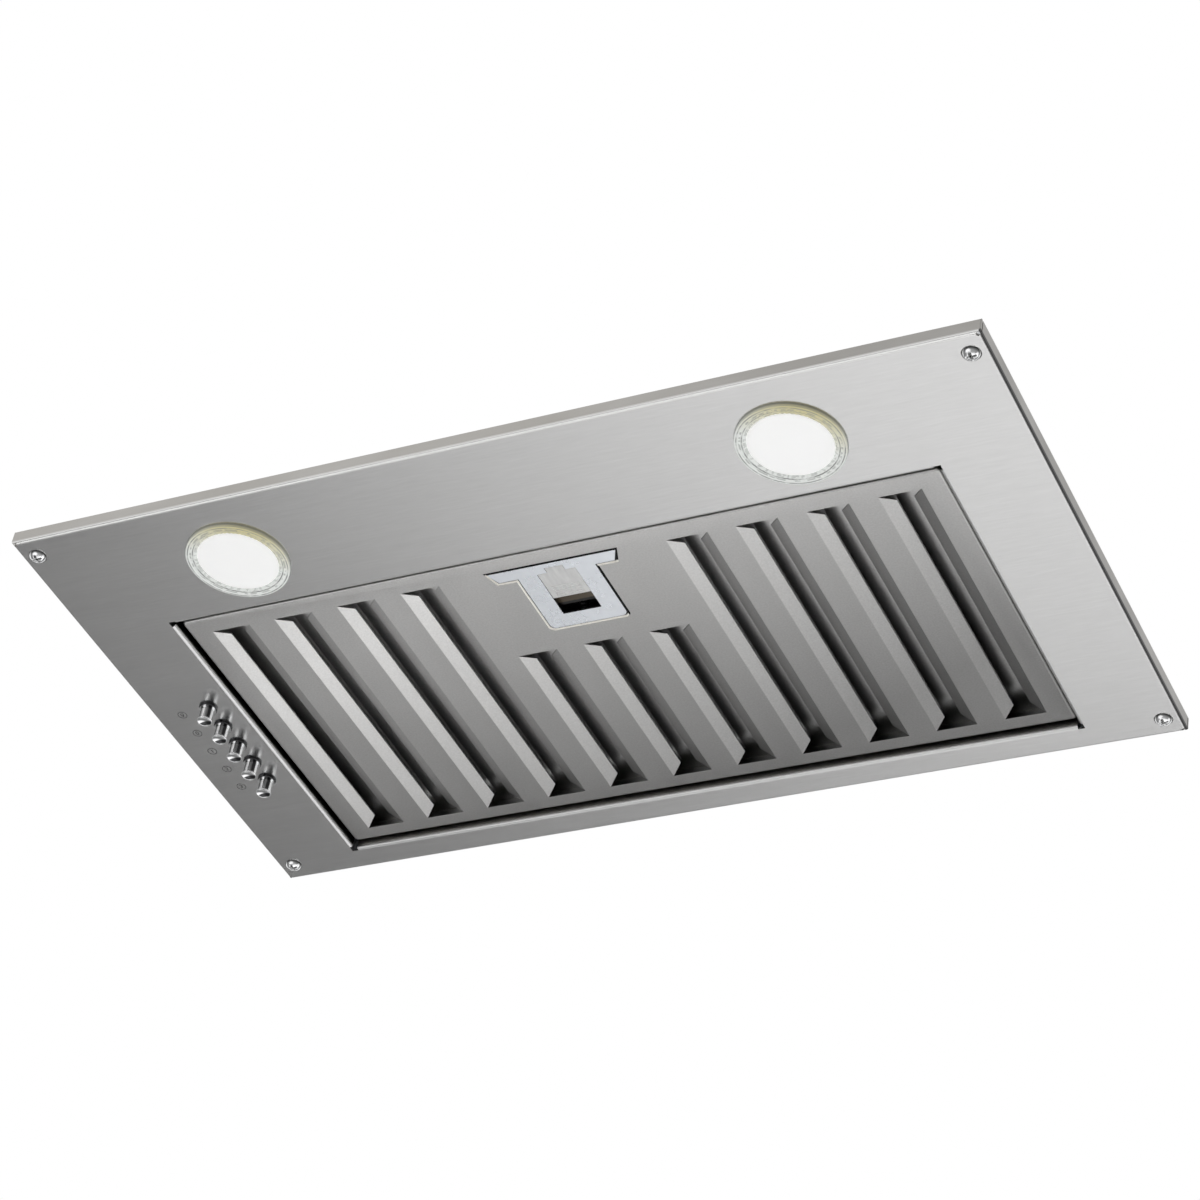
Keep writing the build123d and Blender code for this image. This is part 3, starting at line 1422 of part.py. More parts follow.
def write_plenum_group():
    """Plenum, duct collar and dampers."""
    right_end = make_plenum_end()
    write("plenum_wrapper", make_plenum_wrapper())
    write("plenum_end_right", right_end)
    write("plenum_end_left", mirrored(right_end) - lead_passage())
    write("duct_collar", make_duct_collar())
    write("damper_rods", make_damper_rod(-1), make_damper_rod(1))
    write("damper_flap_front", make_damper_flap(-1))
    write("damper_flap_back", make_damper_flap(1))


def write_blower_group():
    """Motor, wheels, scrolls and the motor's electrical parts."""
    outer_x = port_half - housing_sheet
    throat = inlet_radius + housing_sheet + fixed_fit
    for node, shape in (
        ("scroll_wrap", make_scroll_wrap()), ("scroll_outer_side", make_scroll_side(outer_x, throat)),
        ("scroll_inner_side", make_scroll_side(motor_bay_half, shaft_hole_radius)),
        ("inlet_ring", make_inlet_ring()),
        ("wheel_hub", make_wheel_hub()),
        ("wheel_ring", make_wheel_ring()),
    ):
        write(f"{node}_right", shape)
        write(f"{node}_left", mirrored(shape))
    blades = make_wheel_blades()
    write("wheel_blades_right", *blades)
    write("wheel_blades_left", *[mirrored(blade) for blade in blades])
    for node, shape in (
        ("motor_windings", make_winding()), ("motor_end_bells", make_end_bell()),
        ("motor_bearings", make_bearing()), ("hub_set_screws", make_set_screw()),
    ):
        write(node, shape, mirrored(shape))
    write("motor_shell", make_motor_shell())
    write("motor_stator", make_stator())
    write("motor_shaft", make_shaft())
    write("motor_rotor", make_rotor())
    write("motor_strap", make_motor_strap())
    write("motor_lead", make_motor_lead())
    write("lead_grommet", make_lead_grommet())
    write("capacitor", make_capacitor())
    write("capacitor_clamp", make_capacitor_clamp())


os.makedirs("parts", exist_ok=True)
write_plate_group()
write_filter_group()
write_lamp_group()
write_control_group()
write_plenum_group()
write_blower_group()
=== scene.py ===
"""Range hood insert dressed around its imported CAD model, seen from below, in front and to the right.

Everything is in metres and in the CAD model's frame: the origin is at the centre of the four
mounting screws, -Y is the front, +X is to the user's right and +Z is up.
"""

import json
import logging
import math
from dataclasses import dataclass
from enum import Enum
from typing import Any, Callable, Sequence

import bmesh
import bpy
import numpy as np
from mathutils import Matrix, Vector


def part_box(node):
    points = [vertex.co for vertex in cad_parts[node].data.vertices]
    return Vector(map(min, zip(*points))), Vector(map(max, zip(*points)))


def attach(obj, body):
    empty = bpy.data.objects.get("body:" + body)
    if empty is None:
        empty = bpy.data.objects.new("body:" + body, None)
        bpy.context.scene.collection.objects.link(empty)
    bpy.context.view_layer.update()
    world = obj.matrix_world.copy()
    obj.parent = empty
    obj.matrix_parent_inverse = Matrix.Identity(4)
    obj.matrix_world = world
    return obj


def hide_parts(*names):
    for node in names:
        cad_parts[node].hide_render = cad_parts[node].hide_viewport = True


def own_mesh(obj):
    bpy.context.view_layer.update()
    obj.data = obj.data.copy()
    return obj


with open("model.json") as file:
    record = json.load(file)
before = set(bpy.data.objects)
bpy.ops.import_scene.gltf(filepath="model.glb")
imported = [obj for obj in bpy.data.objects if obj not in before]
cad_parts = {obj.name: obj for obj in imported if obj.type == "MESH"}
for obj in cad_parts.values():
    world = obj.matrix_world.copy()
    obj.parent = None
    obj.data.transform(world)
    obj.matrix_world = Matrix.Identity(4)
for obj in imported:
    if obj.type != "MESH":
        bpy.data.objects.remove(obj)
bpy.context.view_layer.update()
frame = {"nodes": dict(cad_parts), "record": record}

log = logging.getLogger("range_hood_insert")

Pair = tuple[float, float]
Triple = tuple[float, float, float]
Colour = Triple
Object = bpy.types.Object
Socket = bpy.types.NodeSocket
MM = 0.001
FULL_TURN = 2 * math.pi
FLAT_TURN = 12.0  # degrees; an edge that turns by less is shaded as part of a curve
SAME_PLANE = 0.5  # degrees; faces that turn by less are joined into one


# --- shader graphs ---
def operator_method(operation: str, reflected: bool = False) -> Callable[["Value", Any], "Value"]:
    """Method of Value for an arithmetic operator.

    Args:
        operation: the Math node's operation.
        reflected: the other term comes first.

    Returns:
        The method.
    """
    def method(self: "Value", other: Any) -> "Value":
        """Result of the operator as a new value."""
        return self._math(operation, other, self) if reflected else self._math(operation, self, other)

    return method


class Value:
    """A value socket on which Python arithmetic adds Math nodes."""

    def __init__(self, graph: "Graph", socket: Socket) -> None:
        """Wraps an output socket of a graph."""
        self.graph = graph
        self.socket = socket

    def _math(self, operation: str, *terms: Any) -> "Value":
        """Adds one Math node.

        Args:
            operation: the Math node's operation.
            terms: its inputs, values or plain numbers.

        Returns:
            The node's result.
        """
        return self.graph.value("Math", {"operation": operation}, dict(enumerate(terms)))

    __add__ = operator_method("ADD")
    __radd__ = operator_method("ADD", reflected=True)
    __sub__ = operator_method("SUBTRACT")
    __rsub__ = operator_method("SUBTRACT", reflected=True)
    __mul__ = operator_method("MULTIPLY")
    __rmul__ = operator_method("MULTIPLY", reflected=True)
    __truediv__ = operator_method("DIVIDE")
    __pow__ = operator_method("POWER")

    def wave(self) -> "Value":
        """Sine."""
        return self._math("SINE", self)

    def cell(self) -> "Value":
        """Fractional part."""
        return self._math("FRACT", self)

    def size(self) -> "Value":
        """Absolute value."""
        return self._math("ABSOLUTE", self)

    def kept(self, low: float = 0.0, high: float = 1.0) -> "Value":
        """Value held between two limits."""
        return self.graph.value("Clamp", {}, {"Value": self, "Min": low, "Max": high})

    def step(self, start: float, end: float) -> "Value":
        """0 before start, 1 after end, and a straight ramp between them."""
        return ((self - start) / (end - start)).kept()

    def band(self, middle: float, half: float, soft: float) -> "Value":
        """1 within half of the middle, falling to 0 over a soft width."""
        return 1.0 - (self - middle).size().step(half, half + soft)


def distance(across: Value, along: Value) -> Value:
    """Length of the hypotenuse."""
    return (across**2.0 + along**2.0) ** 0.5


class Graph:
    """Node tree of a material or of the world, and the one way in which nodes are added to it."""

    def __init__(self, tree: bpy.types.NodeTree) -> None:
        """Empties a node tree and takes it over."""
        self.tree = tree
        tree.nodes.clear()

    def node(self, kind: str, settings: dict[str, Any], inputs: dict[Any, Any]) -> bpy.types.Node:
        """Adds a node.

        Args:
            kind: the node's type, without its common start.
            settings: its properties, set before its inputs.
            inputs: values or links of its input sockets, by name or number.

        Returns:
            The node.
        """
        node = self.tree.nodes.new(f"ShaderNode{kind}")
        for key, value in settings.items():
            setattr(node, key, value)
        for key, value in inputs.items():
            self.feed(node.inputs[key], value)
        return node

    def value(self, kind: str, settings: dict[str, Any], inputs: dict[Any, Any]) -> Value:
        """Adds a node and gives its first output as a value."""
        return Value(self, self.node(kind, settings, inputs).outputs[0])

    def feed(self, socket: Socket, value: Any) -> None:
        """Links a value to an input socket, or sets the socket's own value."""
        if isinstance(value, Value):
            value = value.socket
        if isinstance(value, Socket):
            self.tree.links.new(value, socket)
        elif isinstance(value, tuple) and len(value) == 3 and socket.type == "RGBA":
            socket.default_value = (*value, 1.0)
        else:
            socket.default_value = value

    def place(self) -> Socket:
        """Object coordinates, in metres."""
        return self.node("TexCoord", {}, {}).outputs["Object"]

    def axes(self) -> tuple[Value, Value, Value]:
        """Object coordinates as three values."""
        node = self.node("SeparateXYZ", {}, {0: self.place()})
        return tuple(Value(self, output) for output in node.outputs)

    def noise(self, scale: float | Colour, detail: float = 2.0, roughness: float = 0.5) -> Value:
        """Noise from 0 to 1 whose cells are 1/scale metres, along all axes or along each."""
        scale = scale if isinstance(scale, tuple) else (scale,) * 3
        place = self.node("VectorMath", {"operation": "MULTIPLY"}, {0: self.place(), 1: scale})
        inputs = {"Vector": place.outputs[0], "Scale": 1.0, "Detail": detail, "Roughness": roughness}
        return self.value("TexNoise", {}, inputs)

    def blend(self, share: Any, first: Any, second: Any) -> Socket:
        """Colour between two colours."""
        node = self.node("Mix", {"data_type": "RGBA"}, {0: share, 6: first, 7: second})
        return node.outputs[2]

    def tinted(self, colour: Any, strength: Value) -> Socket:
        """Colour multiplied by a value."""
        node = self.node("VectorMath", {"operation": "SCALE"}, {0: colour, "Scale": strength})
        return node.outputs[0]

    def relief(self, height: Value, depth: float) -> Socket:
        """Normal bumped by a height from 0 to 1 that stands for a depth in metres."""
        return self.node("Bump", {}, {"Height": height, "Distance": depth, "Strength": 1.0}).outputs[0]

    def principled(self, **inputs: Any) -> None:
        """Surface shader of a material; each input's name has _ for a space."""
        named = {key.replace("_", " "): value for key, value in inputs.items()}
        shader = self.node("BsdfPrincipled", {}, named)
        self.output(shader.outputs[0])

    def output(self, surface: Socket) -> None:
        """Ends the graph in a material's output."""
        self.node("OutputMaterial", {}, {"Surface": surface})


def new_material(name: str) -> tuple[bpy.types.Material, Graph]:
    """Material and its empty graph."""
    material = bpy.data.materials.new(name)
    material.use_nodes = True
    return material, Graph(material.node_tree)


# --- finishes ---
@dataclass(frozen=True)
class Finish:
    """A procedural material; each kind fills the graph in its own way."""

    name: str

    def paint(self, graph: Graph) -> None:
        """Fills the material's empty graph."""
        raise NotImplementedError

    def build(self) -> bpy.types.Material:
        """The material with its graph filled."""
        material, graph = new_material(self.name)
        self.paint(graph)
        return material


@dataclass(frozen=True)
class BrushedSteel(Finish):
    """Stainless sheet brushed along X, duller and stained on the lips above its face.

    The foot is a painted shadow line at the foot of the right lip, the fold a painted highlight at
    the foot of the front lip, the rim a painted highlight before the filter opening, and the wall
    painted shade on the opening's left side. Dim is painted shade that darkens the lips to the right.
    """

    name: str = "brushed_stainless"
    bright: Colour = (0.71, 0.708, 0.705)
    dull: Colour = (0.535, 0.533, 0.53)
    stained: Colour = (0.375, 0.36, 0.335)
    roughness: float = 0.24
    streak: Triple = (70.0, 1000.0, 1000.0)
    broad_streak: Triple = (7.0, 300.0, 300.0)
    fine_share: float = 0.7
    stain: Triple = (16.0, 30.0, 30.0)
    groove: float = 1.5e-6
    lip_start: float = 0.0002
    lip_full: float = 0.0012
    foot_x: float = 0.2594
    foot_top: float = 0.0004
    fold_y: float = -0.1448
    fold_colour: Colour = (0.98, 0.98, 0.96)
    fold_share: float = 0.7
    foot_dark: float = 0.85
    wall_dark: float = 0.93
    dim_start: float = 0.06
    dim_end: float = 0.2
    dim_front: float = 0.25
    dim_right: float = 0.2
    wall_x: float = -0.210
    wall_middle: float = 0.0308
    wall_half: float = 0.0988
    wall_start: float = 0.0
    wall_full: float = 0.0012
    rim_y: float = -0.0687
    rim_half_x: float = 0.2095
    rim_half_y: float = 0.0008
    soft: float = 0.0004

    def paint(self, graph: Graph) -> None:
        """Streaks in colour, gloss and relief, stains on the lips, and painted shade and highlight lines."""
        fine = graph.noise(self.streak, 3.0, 0.65)
        broad = graph.noise(self.broad_streak)
        stain = graph.noise(self.stain, 3.0)
        x, y, height = graph.axes()
        tone = (fine * self.fine_share + broad * (1.0 - self.fine_share)).kept()
        lip = height.step(self.lip_start, self.lip_full) * (stain * 0.6 + 0.55).kept()
        steel = graph.blend(lip, graph.blend(tone, self.dull, self.bright), self.stained)
        # Painted shade: a dark line at the foot of the right lip and on the opening's left wall.
        foot = x.step(self.foot_x - self.soft, self.foot_x) * (1.0 - height.step(self.foot_top, self.lip_full))
        wall = x.band(self.wall_x, 2 * self.soft, self.soft) * height.step(self.wall_start, self.wall_full)
        wall = wall * y.band(self.wall_middle, self.wall_half, self.soft)
        right = x.step(self.foot_x, self.foot_x + self.soft)
        # Painted shade that darkens the lips towards the right, and the right lip most.
        dim = lip * (x.step(self.dim_start, self.dim_end) * self.dim_front + right * self.dim_right)
        # Painted highlights: a bright line at the foot of the front lip and one before the filter opening.
        fold = (1.0 - y.step(self.fold_y - self.soft, self.fold_y)) * (1.0 - height.step(0.0, self.foot_top))
        rim = y.band(self.rim_y, self.rim_half_y, self.rim_half_y / 2) * x.band(0.0, self.rim_half_x, self.soft)
        painted_highlight = (fold * (1.0 - foot) + rim).kept() * (1.0 - lip)
        steel = graph.blend(painted_highlight * self.fold_share, steel, self.fold_colour)
        graph.principled(
            Base_Color=graph.tinted(steel, 1.0 - foot * self.foot_dark - wall * self.wall_dark - dim),
            Metallic=1.0,
            Roughness=(broad - 0.5) * 0.05 + lip * 0.08 + self.roughness,
            Normal=graph.relief(fine, self.groove),
        )


@dataclass(frozen=True)
class SatinSteel(Finish):
    """Rolled stainless sheet of the filter, grained, with a film of use that thickens to the back.

    The sheet's ledge round the latch is painted black as shade at the front, at the right end of the
    latch's bar and right of its stem, and painted cream as a highlight elsewhere.
    """

    bright: Colour
    dull: Colour
    roughness: float = 0.34
    grain: float = 1100.0
    cloud: Triple = (24.0, 9.0, 24.0)
    grain_depth: float = 1.2e-5
    film_start: float = -0.07
    film_end: float = 0.14
    film_share: float = 0.57
    ledge_z: float = 0.0032
    ledge_half_x: float = 0.0382
    ledge_y: float = -0.0306
    ledge_half_y: float = 0.0252
    front_y: float = -0.0541
    end_x: float = 0.0318
    end_y: float = -0.0466
    stem_x: float = 0.0213
    stem_y: float = -0.0452
    soft: float = 0.0003
    wide: float = 0.0004
    # black is the ledge's painted shade, cream its painted highlight.
    black: Colour = (0.015, 0.015, 0.015)
    cream: Colour = (0.98, 0.96, 0.9)

    def paint(self, graph: Graph) -> None:
        """Grain in colour and relief, clouds in gloss, painted shade to the back and the painted ledge."""
        grain = graph.noise(self.grain)
        cloud = graph.noise(self.cloud, 3.0)
        x, y, z = graph.axes()
        # The ledge round the latch is painted: black as shade at the front, the bar's right end and right of
        # the stem, cream as a highlight elsewhere.
        near = x.band(0.0, self.ledge_half_x, self.soft) * y.band(self.ledge_y, self.ledge_half_y, self.soft)
        ledge = z.band(self.ledge_z, 0.2 * MM, 0.1 * MM) * near
        front = 1.0 - y.step(self.front_y, self.front_y + self.soft)
        end = x.step(self.end_x, self.end_x + self.wide) * (1.0 - y.step(self.end_y, self.end_y + self.wide))
        stem = x.step(self.stem_x, self.stem_x + self.soft) * y.step(self.stem_y, self.stem_y + self.wide)
        dark = (front + end + stem).kept()
        # Painted shade, darker towards the back and the right.
        painted_shade = (x * 0.4 + y).step(self.film_start, self.film_end) * self.film_share
        tone = (grain * 0.6 + cloud * 0.4).kept()
        metal = graph.tinted(graph.blend(tone, self.dull, self.bright), 1.0 - painted_shade)
        graph.principled(
            Base_Color=graph.blend(ledge, metal, graph.blend(dark, self.cream, self.black)),
            Metallic=1.0,
            Roughness=(cloud - 0.5) * 0.1 + self.roughness,
            Normal=graph.relief(grain, self.grain_depth),
        )


@dataclass(frozen=True)
class Galvanised(Finish):
    """Zinc-coated steel sheet with its spangle."""

    name: str = "galvanised_sheet"
    pale: Colour = (0.60, 0.615, 0.63)
    dark: Colour = (0.42, 0.435, 0.45)
    spangle: float = 170.0
    roughness: float = 0.38

    def paint(self, graph: Graph) -> None:
        """Crystal cells of differing tone and gloss, broken up by fine frost and a few dull marks."""
        cells = {"Vector": graph.place(), "Scale": self.spangle, "Randomness": 1.0}
        cell = graph.node("TexVoronoi", {"feature": "F1"}, cells)
        crystal = graph.value("SeparateColor", {}, {0: cell.outputs["Color"]})
        frost = graph.noise(420.0, 3.0)
        mark = graph.noise(13.0, 4.0).step(0.5, 0.75)
        tone = (crystal * 0.65 + frost * 0.35) * (1.0 - mark * 0.35)
        graph.principled(
            Base_Color=graph.blend(tone.kept(), self.dark, self.pale),
            Metallic=0.9,
            Roughness=crystal * 0.14 + mark * 0.12 + self.roughness,
            Normal=graph.relief(crystal * 0.6 + frost * 0.4, 2.5e-5),
        )


@dataclass(frozen=True)
class PlainMetal(Finish):
    """Plated, turned or cast metal."""

    bright: Colour
    dull: Colour
    roughness: float
    grain: float = 300.0
    grain_depth: float = 3e-6
    tarnish: float = 70.0

    def paint(self, graph: Graph) -> None:
        """Fine surface marks, with a soft tarnish in colour and gloss."""
        mark = graph.noise(self.grain, 3.0)
        tarnish = graph.noise(self.tarnish, 3.0)
        tone = (mark * 0.4 + tarnish * 0.6).kept()
        graph.principled(
            Base_Color=graph.blend(tone, self.dull, self.bright),
            Metallic=1.0,
            Roughness=((tarnish - 0.5) * 0.5 * self.roughness + self.roughness).kept(0.03, 1.0),
            Normal=graph.relief(mark, self.grain_depth),
        )


@dataclass(frozen=True)
class Moulding(Finish):
    """Moulded plastic or rubber with a spark-eroded grain."""

    colour: Colour
    worn: Colour
    roughness: float
    grain: float = 700.0
    grain_depth: float = 2e-5

    def paint(self, graph: Graph) -> None:
        """Grain in relief, worn or dusty patches in colour and gloss."""
        grain = graph.noise(self.grain)
        dust = graph.noise(60.0, 4.0).step(0.45, 0.75)
        graph.principled(
            Base_Color=graph.blend(dust * 0.6 + grain * 0.2, self.colour, self.worn),
            Roughness=(dust * 0.12 + self.roughness).kept(),
            Normal=graph.relief(grain, self.grain_depth),
        )


@dataclass(frozen=True)
class Striped(Finish):
    """Metal with even lines across one axis: stacked laminations or wound wire."""

    ridge: Colour
    groove: Colour
    roughness: float
    axis: int
    pitch: float
    depth: float = 4e-5

    def paint(self, graph: Graph) -> None:
        """Lines as half sine waves in colour, gloss and relief, slightly uneven."""
        along = graph.axes()[self.axis]
        wander = graph.noise(40.0) * self.pitch
        line = ((along + wander) * (math.pi / self.pitch)).wave().size()
        grain = graph.noise(500.0)
        graph.principled(
            Base_Color=graph.blend((line * 0.8 + grain * 0.2).kept(), self.groove, self.ridge),
            Metallic=1.0,
            Roughness=(1.0 - line) * 0.3 + self.roughness,
            Normal=graph.relief(line, self.depth),
        )


@dataclass(frozen=True)
class OpalLens(Finish):
    """Lit white diffuser with a fine prismatic texture, a little softer towards its edge."""

    name: str = "lit_opal"
    colour: Colour = (0.93, 0.93, 0.925)
    glow: Colour = (1.0, 1.0, 1.0)
    edge_glow: Colour = (0.86, 0.86, 0.84)
    strength: float = 0.32
    prism: float = 2200.0
    fade_start: float = 0.0185
    fade_end: float = 0.0208

    def paint(self, graph: Graph) -> None:
        """Glow that fades over the last millimetres of the lens, on a dimpled surface."""
        x, y, _ = graph.axes()
        lamp_x, lamp_y = lamp_centre("right")[:2]
        out = distance(x.size() - lamp_x, y - lamp_y).step(self.fade_start, self.fade_end)
        dimple = (x * self.prism).wave() * (y * self.prism).wave() * 0.5 + 0.5
        graph.principled(
            Base_Color=graph.blend(dimple * 0.3, self.colour, self.edge_glow),
            Roughness=out * 0.1 + 0.3,
            Emission_Color=graph.blend(out, self.glow, self.edge_glow),
            Emission_Strength=self.strength,
            Normal=graph.relief(dimple, 1e-5),
        )


@dataclass(frozen=True)
class ClearRim(Finish):
    """Clear moulded ring that carries the lens's light, ribbed round and across.

    The places of its lines are shares of the way from its inner to its outer edge.
    """

    name: str = "clear_rim"
    clear: Colour = (0.34, 0.35, 0.34)
    cast: Colour = (0.16, 0.14, 0.05)
    dim: Colour = (0.03, 0.032, 0.03)
    lit: Colour = (0.86, 0.88, 0.86)
    lit_cast: Colour = (0.66, 0.60, 0.30)
    strength: float = 0.55
    inner: float = 0.0208
    outer: float = 0.0267
    edge_start: float = 0.94
    edge_end: float = 0.98
    face_z: float = -0.0017
    wall_z: float = -0.0013
    lines: tuple[float, ...] = (0.80, 0.38)
    line_half: float = 0.03
    dash_place: float = 0.55
    dash_half: float = 0.05
    dashes: float = 17.0
    fleck_place: float = 0.14
    fleck_half: float = 0.08
    flecks: float = 29.0
    cast_reach: float = 0.03

    def paint(self, graph: Graph) -> None:
        """Light crossed by a dark edge, rings, dashes and flecks, and yellow to the front right."""
        x, y, z = graph.axes()
        lamp_x, lamp_y = lamp_centre("right")[:2]
        side = x.step(-MM, MM) * 2.0 - 1.0
        across, along = x - side * lamp_x, y - lamp_y
        share = (distance(across, along) - self.inner) / (self.outer - self.inner)
        turn = graph.value("Math", {"operation": "ARCTAN2"}, {0: along, 1: across})
        flow = graph.noise(260.0)
        wander = share + (flow - 0.5) * 0.03
        edge = wander.step(self.edge_start, self.edge_end) * (0.55 + z.step(self.face_z, self.wall_z) * 0.4)
        rings = sum(wander.band(place, self.line_half, self.line_half) for place in self.lines)
        lines = rings * (flow * 3.0 - 0.7).kept(0.2, 1.0)
        dash = (turn * self.dashes + flow * 16.0).wave().step(-0.4, 0.2)
        stroke = wander.band(self.dash_place, self.dash_half, self.dash_half) * dash * 0.6
        dot = (turn * self.flecks + flow * 20.0).wave().step(-0.1, 0.4)
        fleck = wander.band(self.fleck_place, self.fleck_half, self.fleck_half) * dot * 0.4
        light = 1.0 - (edge + lines + stroke + fleck).kept(0.0, 0.95)
        cast = (across * 0.7 - along).step(0.0, self.cast_reach)
        graph.principled(
            Base_Color=graph.blend(cast * light, self.clear, self.cast),
            Roughness=flow * 0.06 + 0.12,
            Metallic=0.0,
            Transmission_Weight=0.25,
            IOR=1.49,
            Emission_Color=graph.blend(light, self.dim, graph.blend(cast * 0.8, self.lit, self.lit_cast)),
            Emission_Strength=self.strength,
            Normal=graph.relief(light, 1.5e-4),
        )


@dataclass(frozen=True)
class ButtonChrome(Finish):
    """Chrome of the push buttons and their collars, with dark reflections painted into its colour.

    A stripe is its place across the body, its half width, its soft edge and how dark it is.
    """

    name: str = "button_chrome"
    bright: Colour = (0.93, 0.935, 0.94)
    dark: Colour = (0.05, 0.05, 0.052)
    black: Colour = (0.02, 0.02, 0.022)
    column_x: float = -0.2273
    first_y: float = -0.0023
    pitch: float = 0.0159
    tip_top: float = -0.0095
    tip_radius: float = 0.0034
    tip_end: float = 0.0037
    collar_radius: float = 0.0043
    stripes: tuple[tuple[float, float, float, float], ...] = (
        (0.0001, 0.0007, 0.0004, 0.55), (0.0018, 0.0006, 0.0004, 0.9), (-0.0031, 0.0003, 0.0003, 0.7),
    )
    belt_y: float = 0.0019
    belt_half: float = 0.001
    belt_soft: float = 0.0005
    soft: float = 0.0002
    across_y: float = 0.4228
    across_x: float = 0.8942

    def paint(self, graph: Graph) -> None:
        """Painted reflections: dark bands along the body, a dark belt across the tip and a dark outer slope of
        the collar.
        """
        x, y, z = graph.axes()
        off_x = x - self.column_x
        off_y = (((y - self.first_y) / self.pitch + 0.5).cell() - 0.5) * self.pitch
        across = off_x * self.across_x + off_y * self.across_y
        out = distance(off_x, off_y)
        tip = 1.0 - z.step(self.tip_top, self.tip_top + self.soft)
        collar = out.step(self.collar_radius, self.collar_radius + self.soft)
        # Painted reflections: dark bands along the body and a dark belt across the tip.
        body = sum(across.band(place, half, soft) * dark for place, half, soft, dark in self.stripes)
        belt = off_y.band(self.belt_y, self.belt_half, self.belt_soft)
        belt = belt * (1.0 - out.step(self.tip_radius, self.tip_end))
        marks = graph.noise(900.0)
        shade = tip * belt * 0.95 + (1.0 - tip) * (1.0 - collar) * body.kept()
        tone = graph.blend((shade + marks * 0.08).kept(), self.bright, self.dark)
        # Painted reflection: black on one side of the collar's outer slope.
        slope = collar * (1.0 - tip) * (off_x * 0.6 - off_y * 0.8).step(-MM, MM)
        graph.principled(
            Base_Color=graph.blend(slope * 0.95, tone, self.black),
            Metallic=1.0,
            Roughness=marks * 0.04 + 0.04,
        )


@dataclass(frozen=True)
class ScrewChrome(Finish):
    """Bright plating of the corner screws, with painted shade at the head's edge and in the recess."""

    name: str = "screw_chrome"
    bright: Colour = (0.92, 0.925, 0.93)
    dark: Colour = (0.05, 0.05, 0.045)
    screw_x: float = 0.2515
    screw_y: float = 0.1345
    edge_start: float = 0.0038
    edge_end: float = 0.0045
    arm_half: float = 0.0005
    arm_soft: float = 0.0003
    arm_reach: float = 0.0024
    arm_fade: float = 0.0004

    def paint(self, graph: Graph) -> None:
        """Painted shade round the head's edge and in the cross recess, broken up by a fine noise that also sets
        gloss and relief.
        """
        x, y, _ = graph.axes()
        off_x, off_y = (x.size() - self.screw_x).size(), (y.size() - self.screw_y).size()
        out = distance(off_x, off_y)
        grime_and_shade = graph.noise(1500.0, 3.0)
        # Painted shade: dark in the cross recess and round the head's edge.
        arm = off_x.band(0.0, self.arm_half, self.arm_soft) + off_y.band(0.0, self.arm_half, self.arm_soft)
        cross = arm * out.band(0.0, self.arm_reach, self.arm_fade) * grime_and_shade.step(0.3, 0.5)
        shade = (out.step(self.edge_start, self.edge_end) * 0.85 + cross * 0.7).kept(0.0, 0.95)
        graph.principled(
            Base_Color=graph.blend(shade, self.bright, self.dark),
            Metallic=1.0,
            Roughness=grime_and_shade * 0.08 + 0.05,
            Normal=graph.relief(grime_and_shade, 4e-6),
        )


@dataclass(frozen=True)
class LatchZinc(Finish):
    """Bluish zinc plating of the latch's plate, painted black below its face as shade."""

    name: str = "latch_zinc"
    bright: Colour = (0.93, 0.96, 1.0)
    dull: Colour = (0.80, 0.83, 0.88)
    dirt: Colour = (0.012, 0.012, 0.014)
    face: float = 0.0029

    def paint(self, graph: Graph) -> None:
        """Soft clouds on the face; all that lies more than 0.2 mm above it is painted black as shade."""
        cloud = graph.noise(120.0, 3.0)
        # Painted shade: everything deeper than the face turns black.
        deep = graph.axes()[2].step(self.face + 0.1 * MM, self.face + 0.22 * MM)
        graph.principled(
            Base_Color=graph.blend(deep, graph.blend(cloud, self.dull, self.bright), self.dirt),
            Metallic=1.0 - deep * 0.8,
            Roughness=cloud * 0.12 + 0.22,
            Normal=graph.relief(cloud, 8e-6),
        )


@dataclass(frozen=True)
class SliderZinc(Finish):
    """Zinc plating of the latch's slider, with brown then black painted shade behind the thumb pad."""

    name: str = "slider_zinc"
    bright: Colour = (0.88, 0.88, 0.87)
    dull: Colour = (0.66, 0.66, 0.66)
    grease: Colour = (0.10, 0.08, 0.055)
    black: Colour = (0.012, 0.011, 0.01)
    pad_back: float = -0.0288
    grease_end: float = -0.0222

    def paint(self, graph: Graph) -> None:
        """Plating with fine marks; painted shade from the pad's back edge, darker further back."""
        marks = graph.noise((500.0, 140.0, 500.0), 3.0)
        y = graph.axes()[1] + (marks - 0.5) * 0.0006
        # Painted shade in the recess behind the pad: brown, then black further back.
        grease = y.step(self.pad_back, self.pad_back + 0.0003)
        deep = y.step(self.grease_end, self.grease_end + 0.0006)
        metal = graph.blend(marks, self.dull, self.bright)
        graph.principled(
            Base_Color=graph.blend(grease, metal, graph.blend(deep, self.grease, self.black)),
            Metallic=1.0 - grease * 0.8,
            Roughness=marks * 0.1 + 0.3,
            Normal=graph.relief(marks, 6e-6),
        )


@dataclass(frozen=True)
class EtchedMark(Finish):
    """Dark oxide of a mark etched into the steel."""

    name: str = "etched_mark"
    dark: Colour = (0.03, 0.03, 0.032)
    light: Colour = (0.07, 0.07, 0.07)

    def paint(self, graph: Graph) -> None:
        """Dull grey with a fine speckle."""
        speckle = graph.noise(2600.0)
        graph.principled(
            Base_Color=graph.blend(speckle, self.dark, self.light),
            Metallic=0.3,
            Roughness=speckle * 0.2 + 0.45,
        )


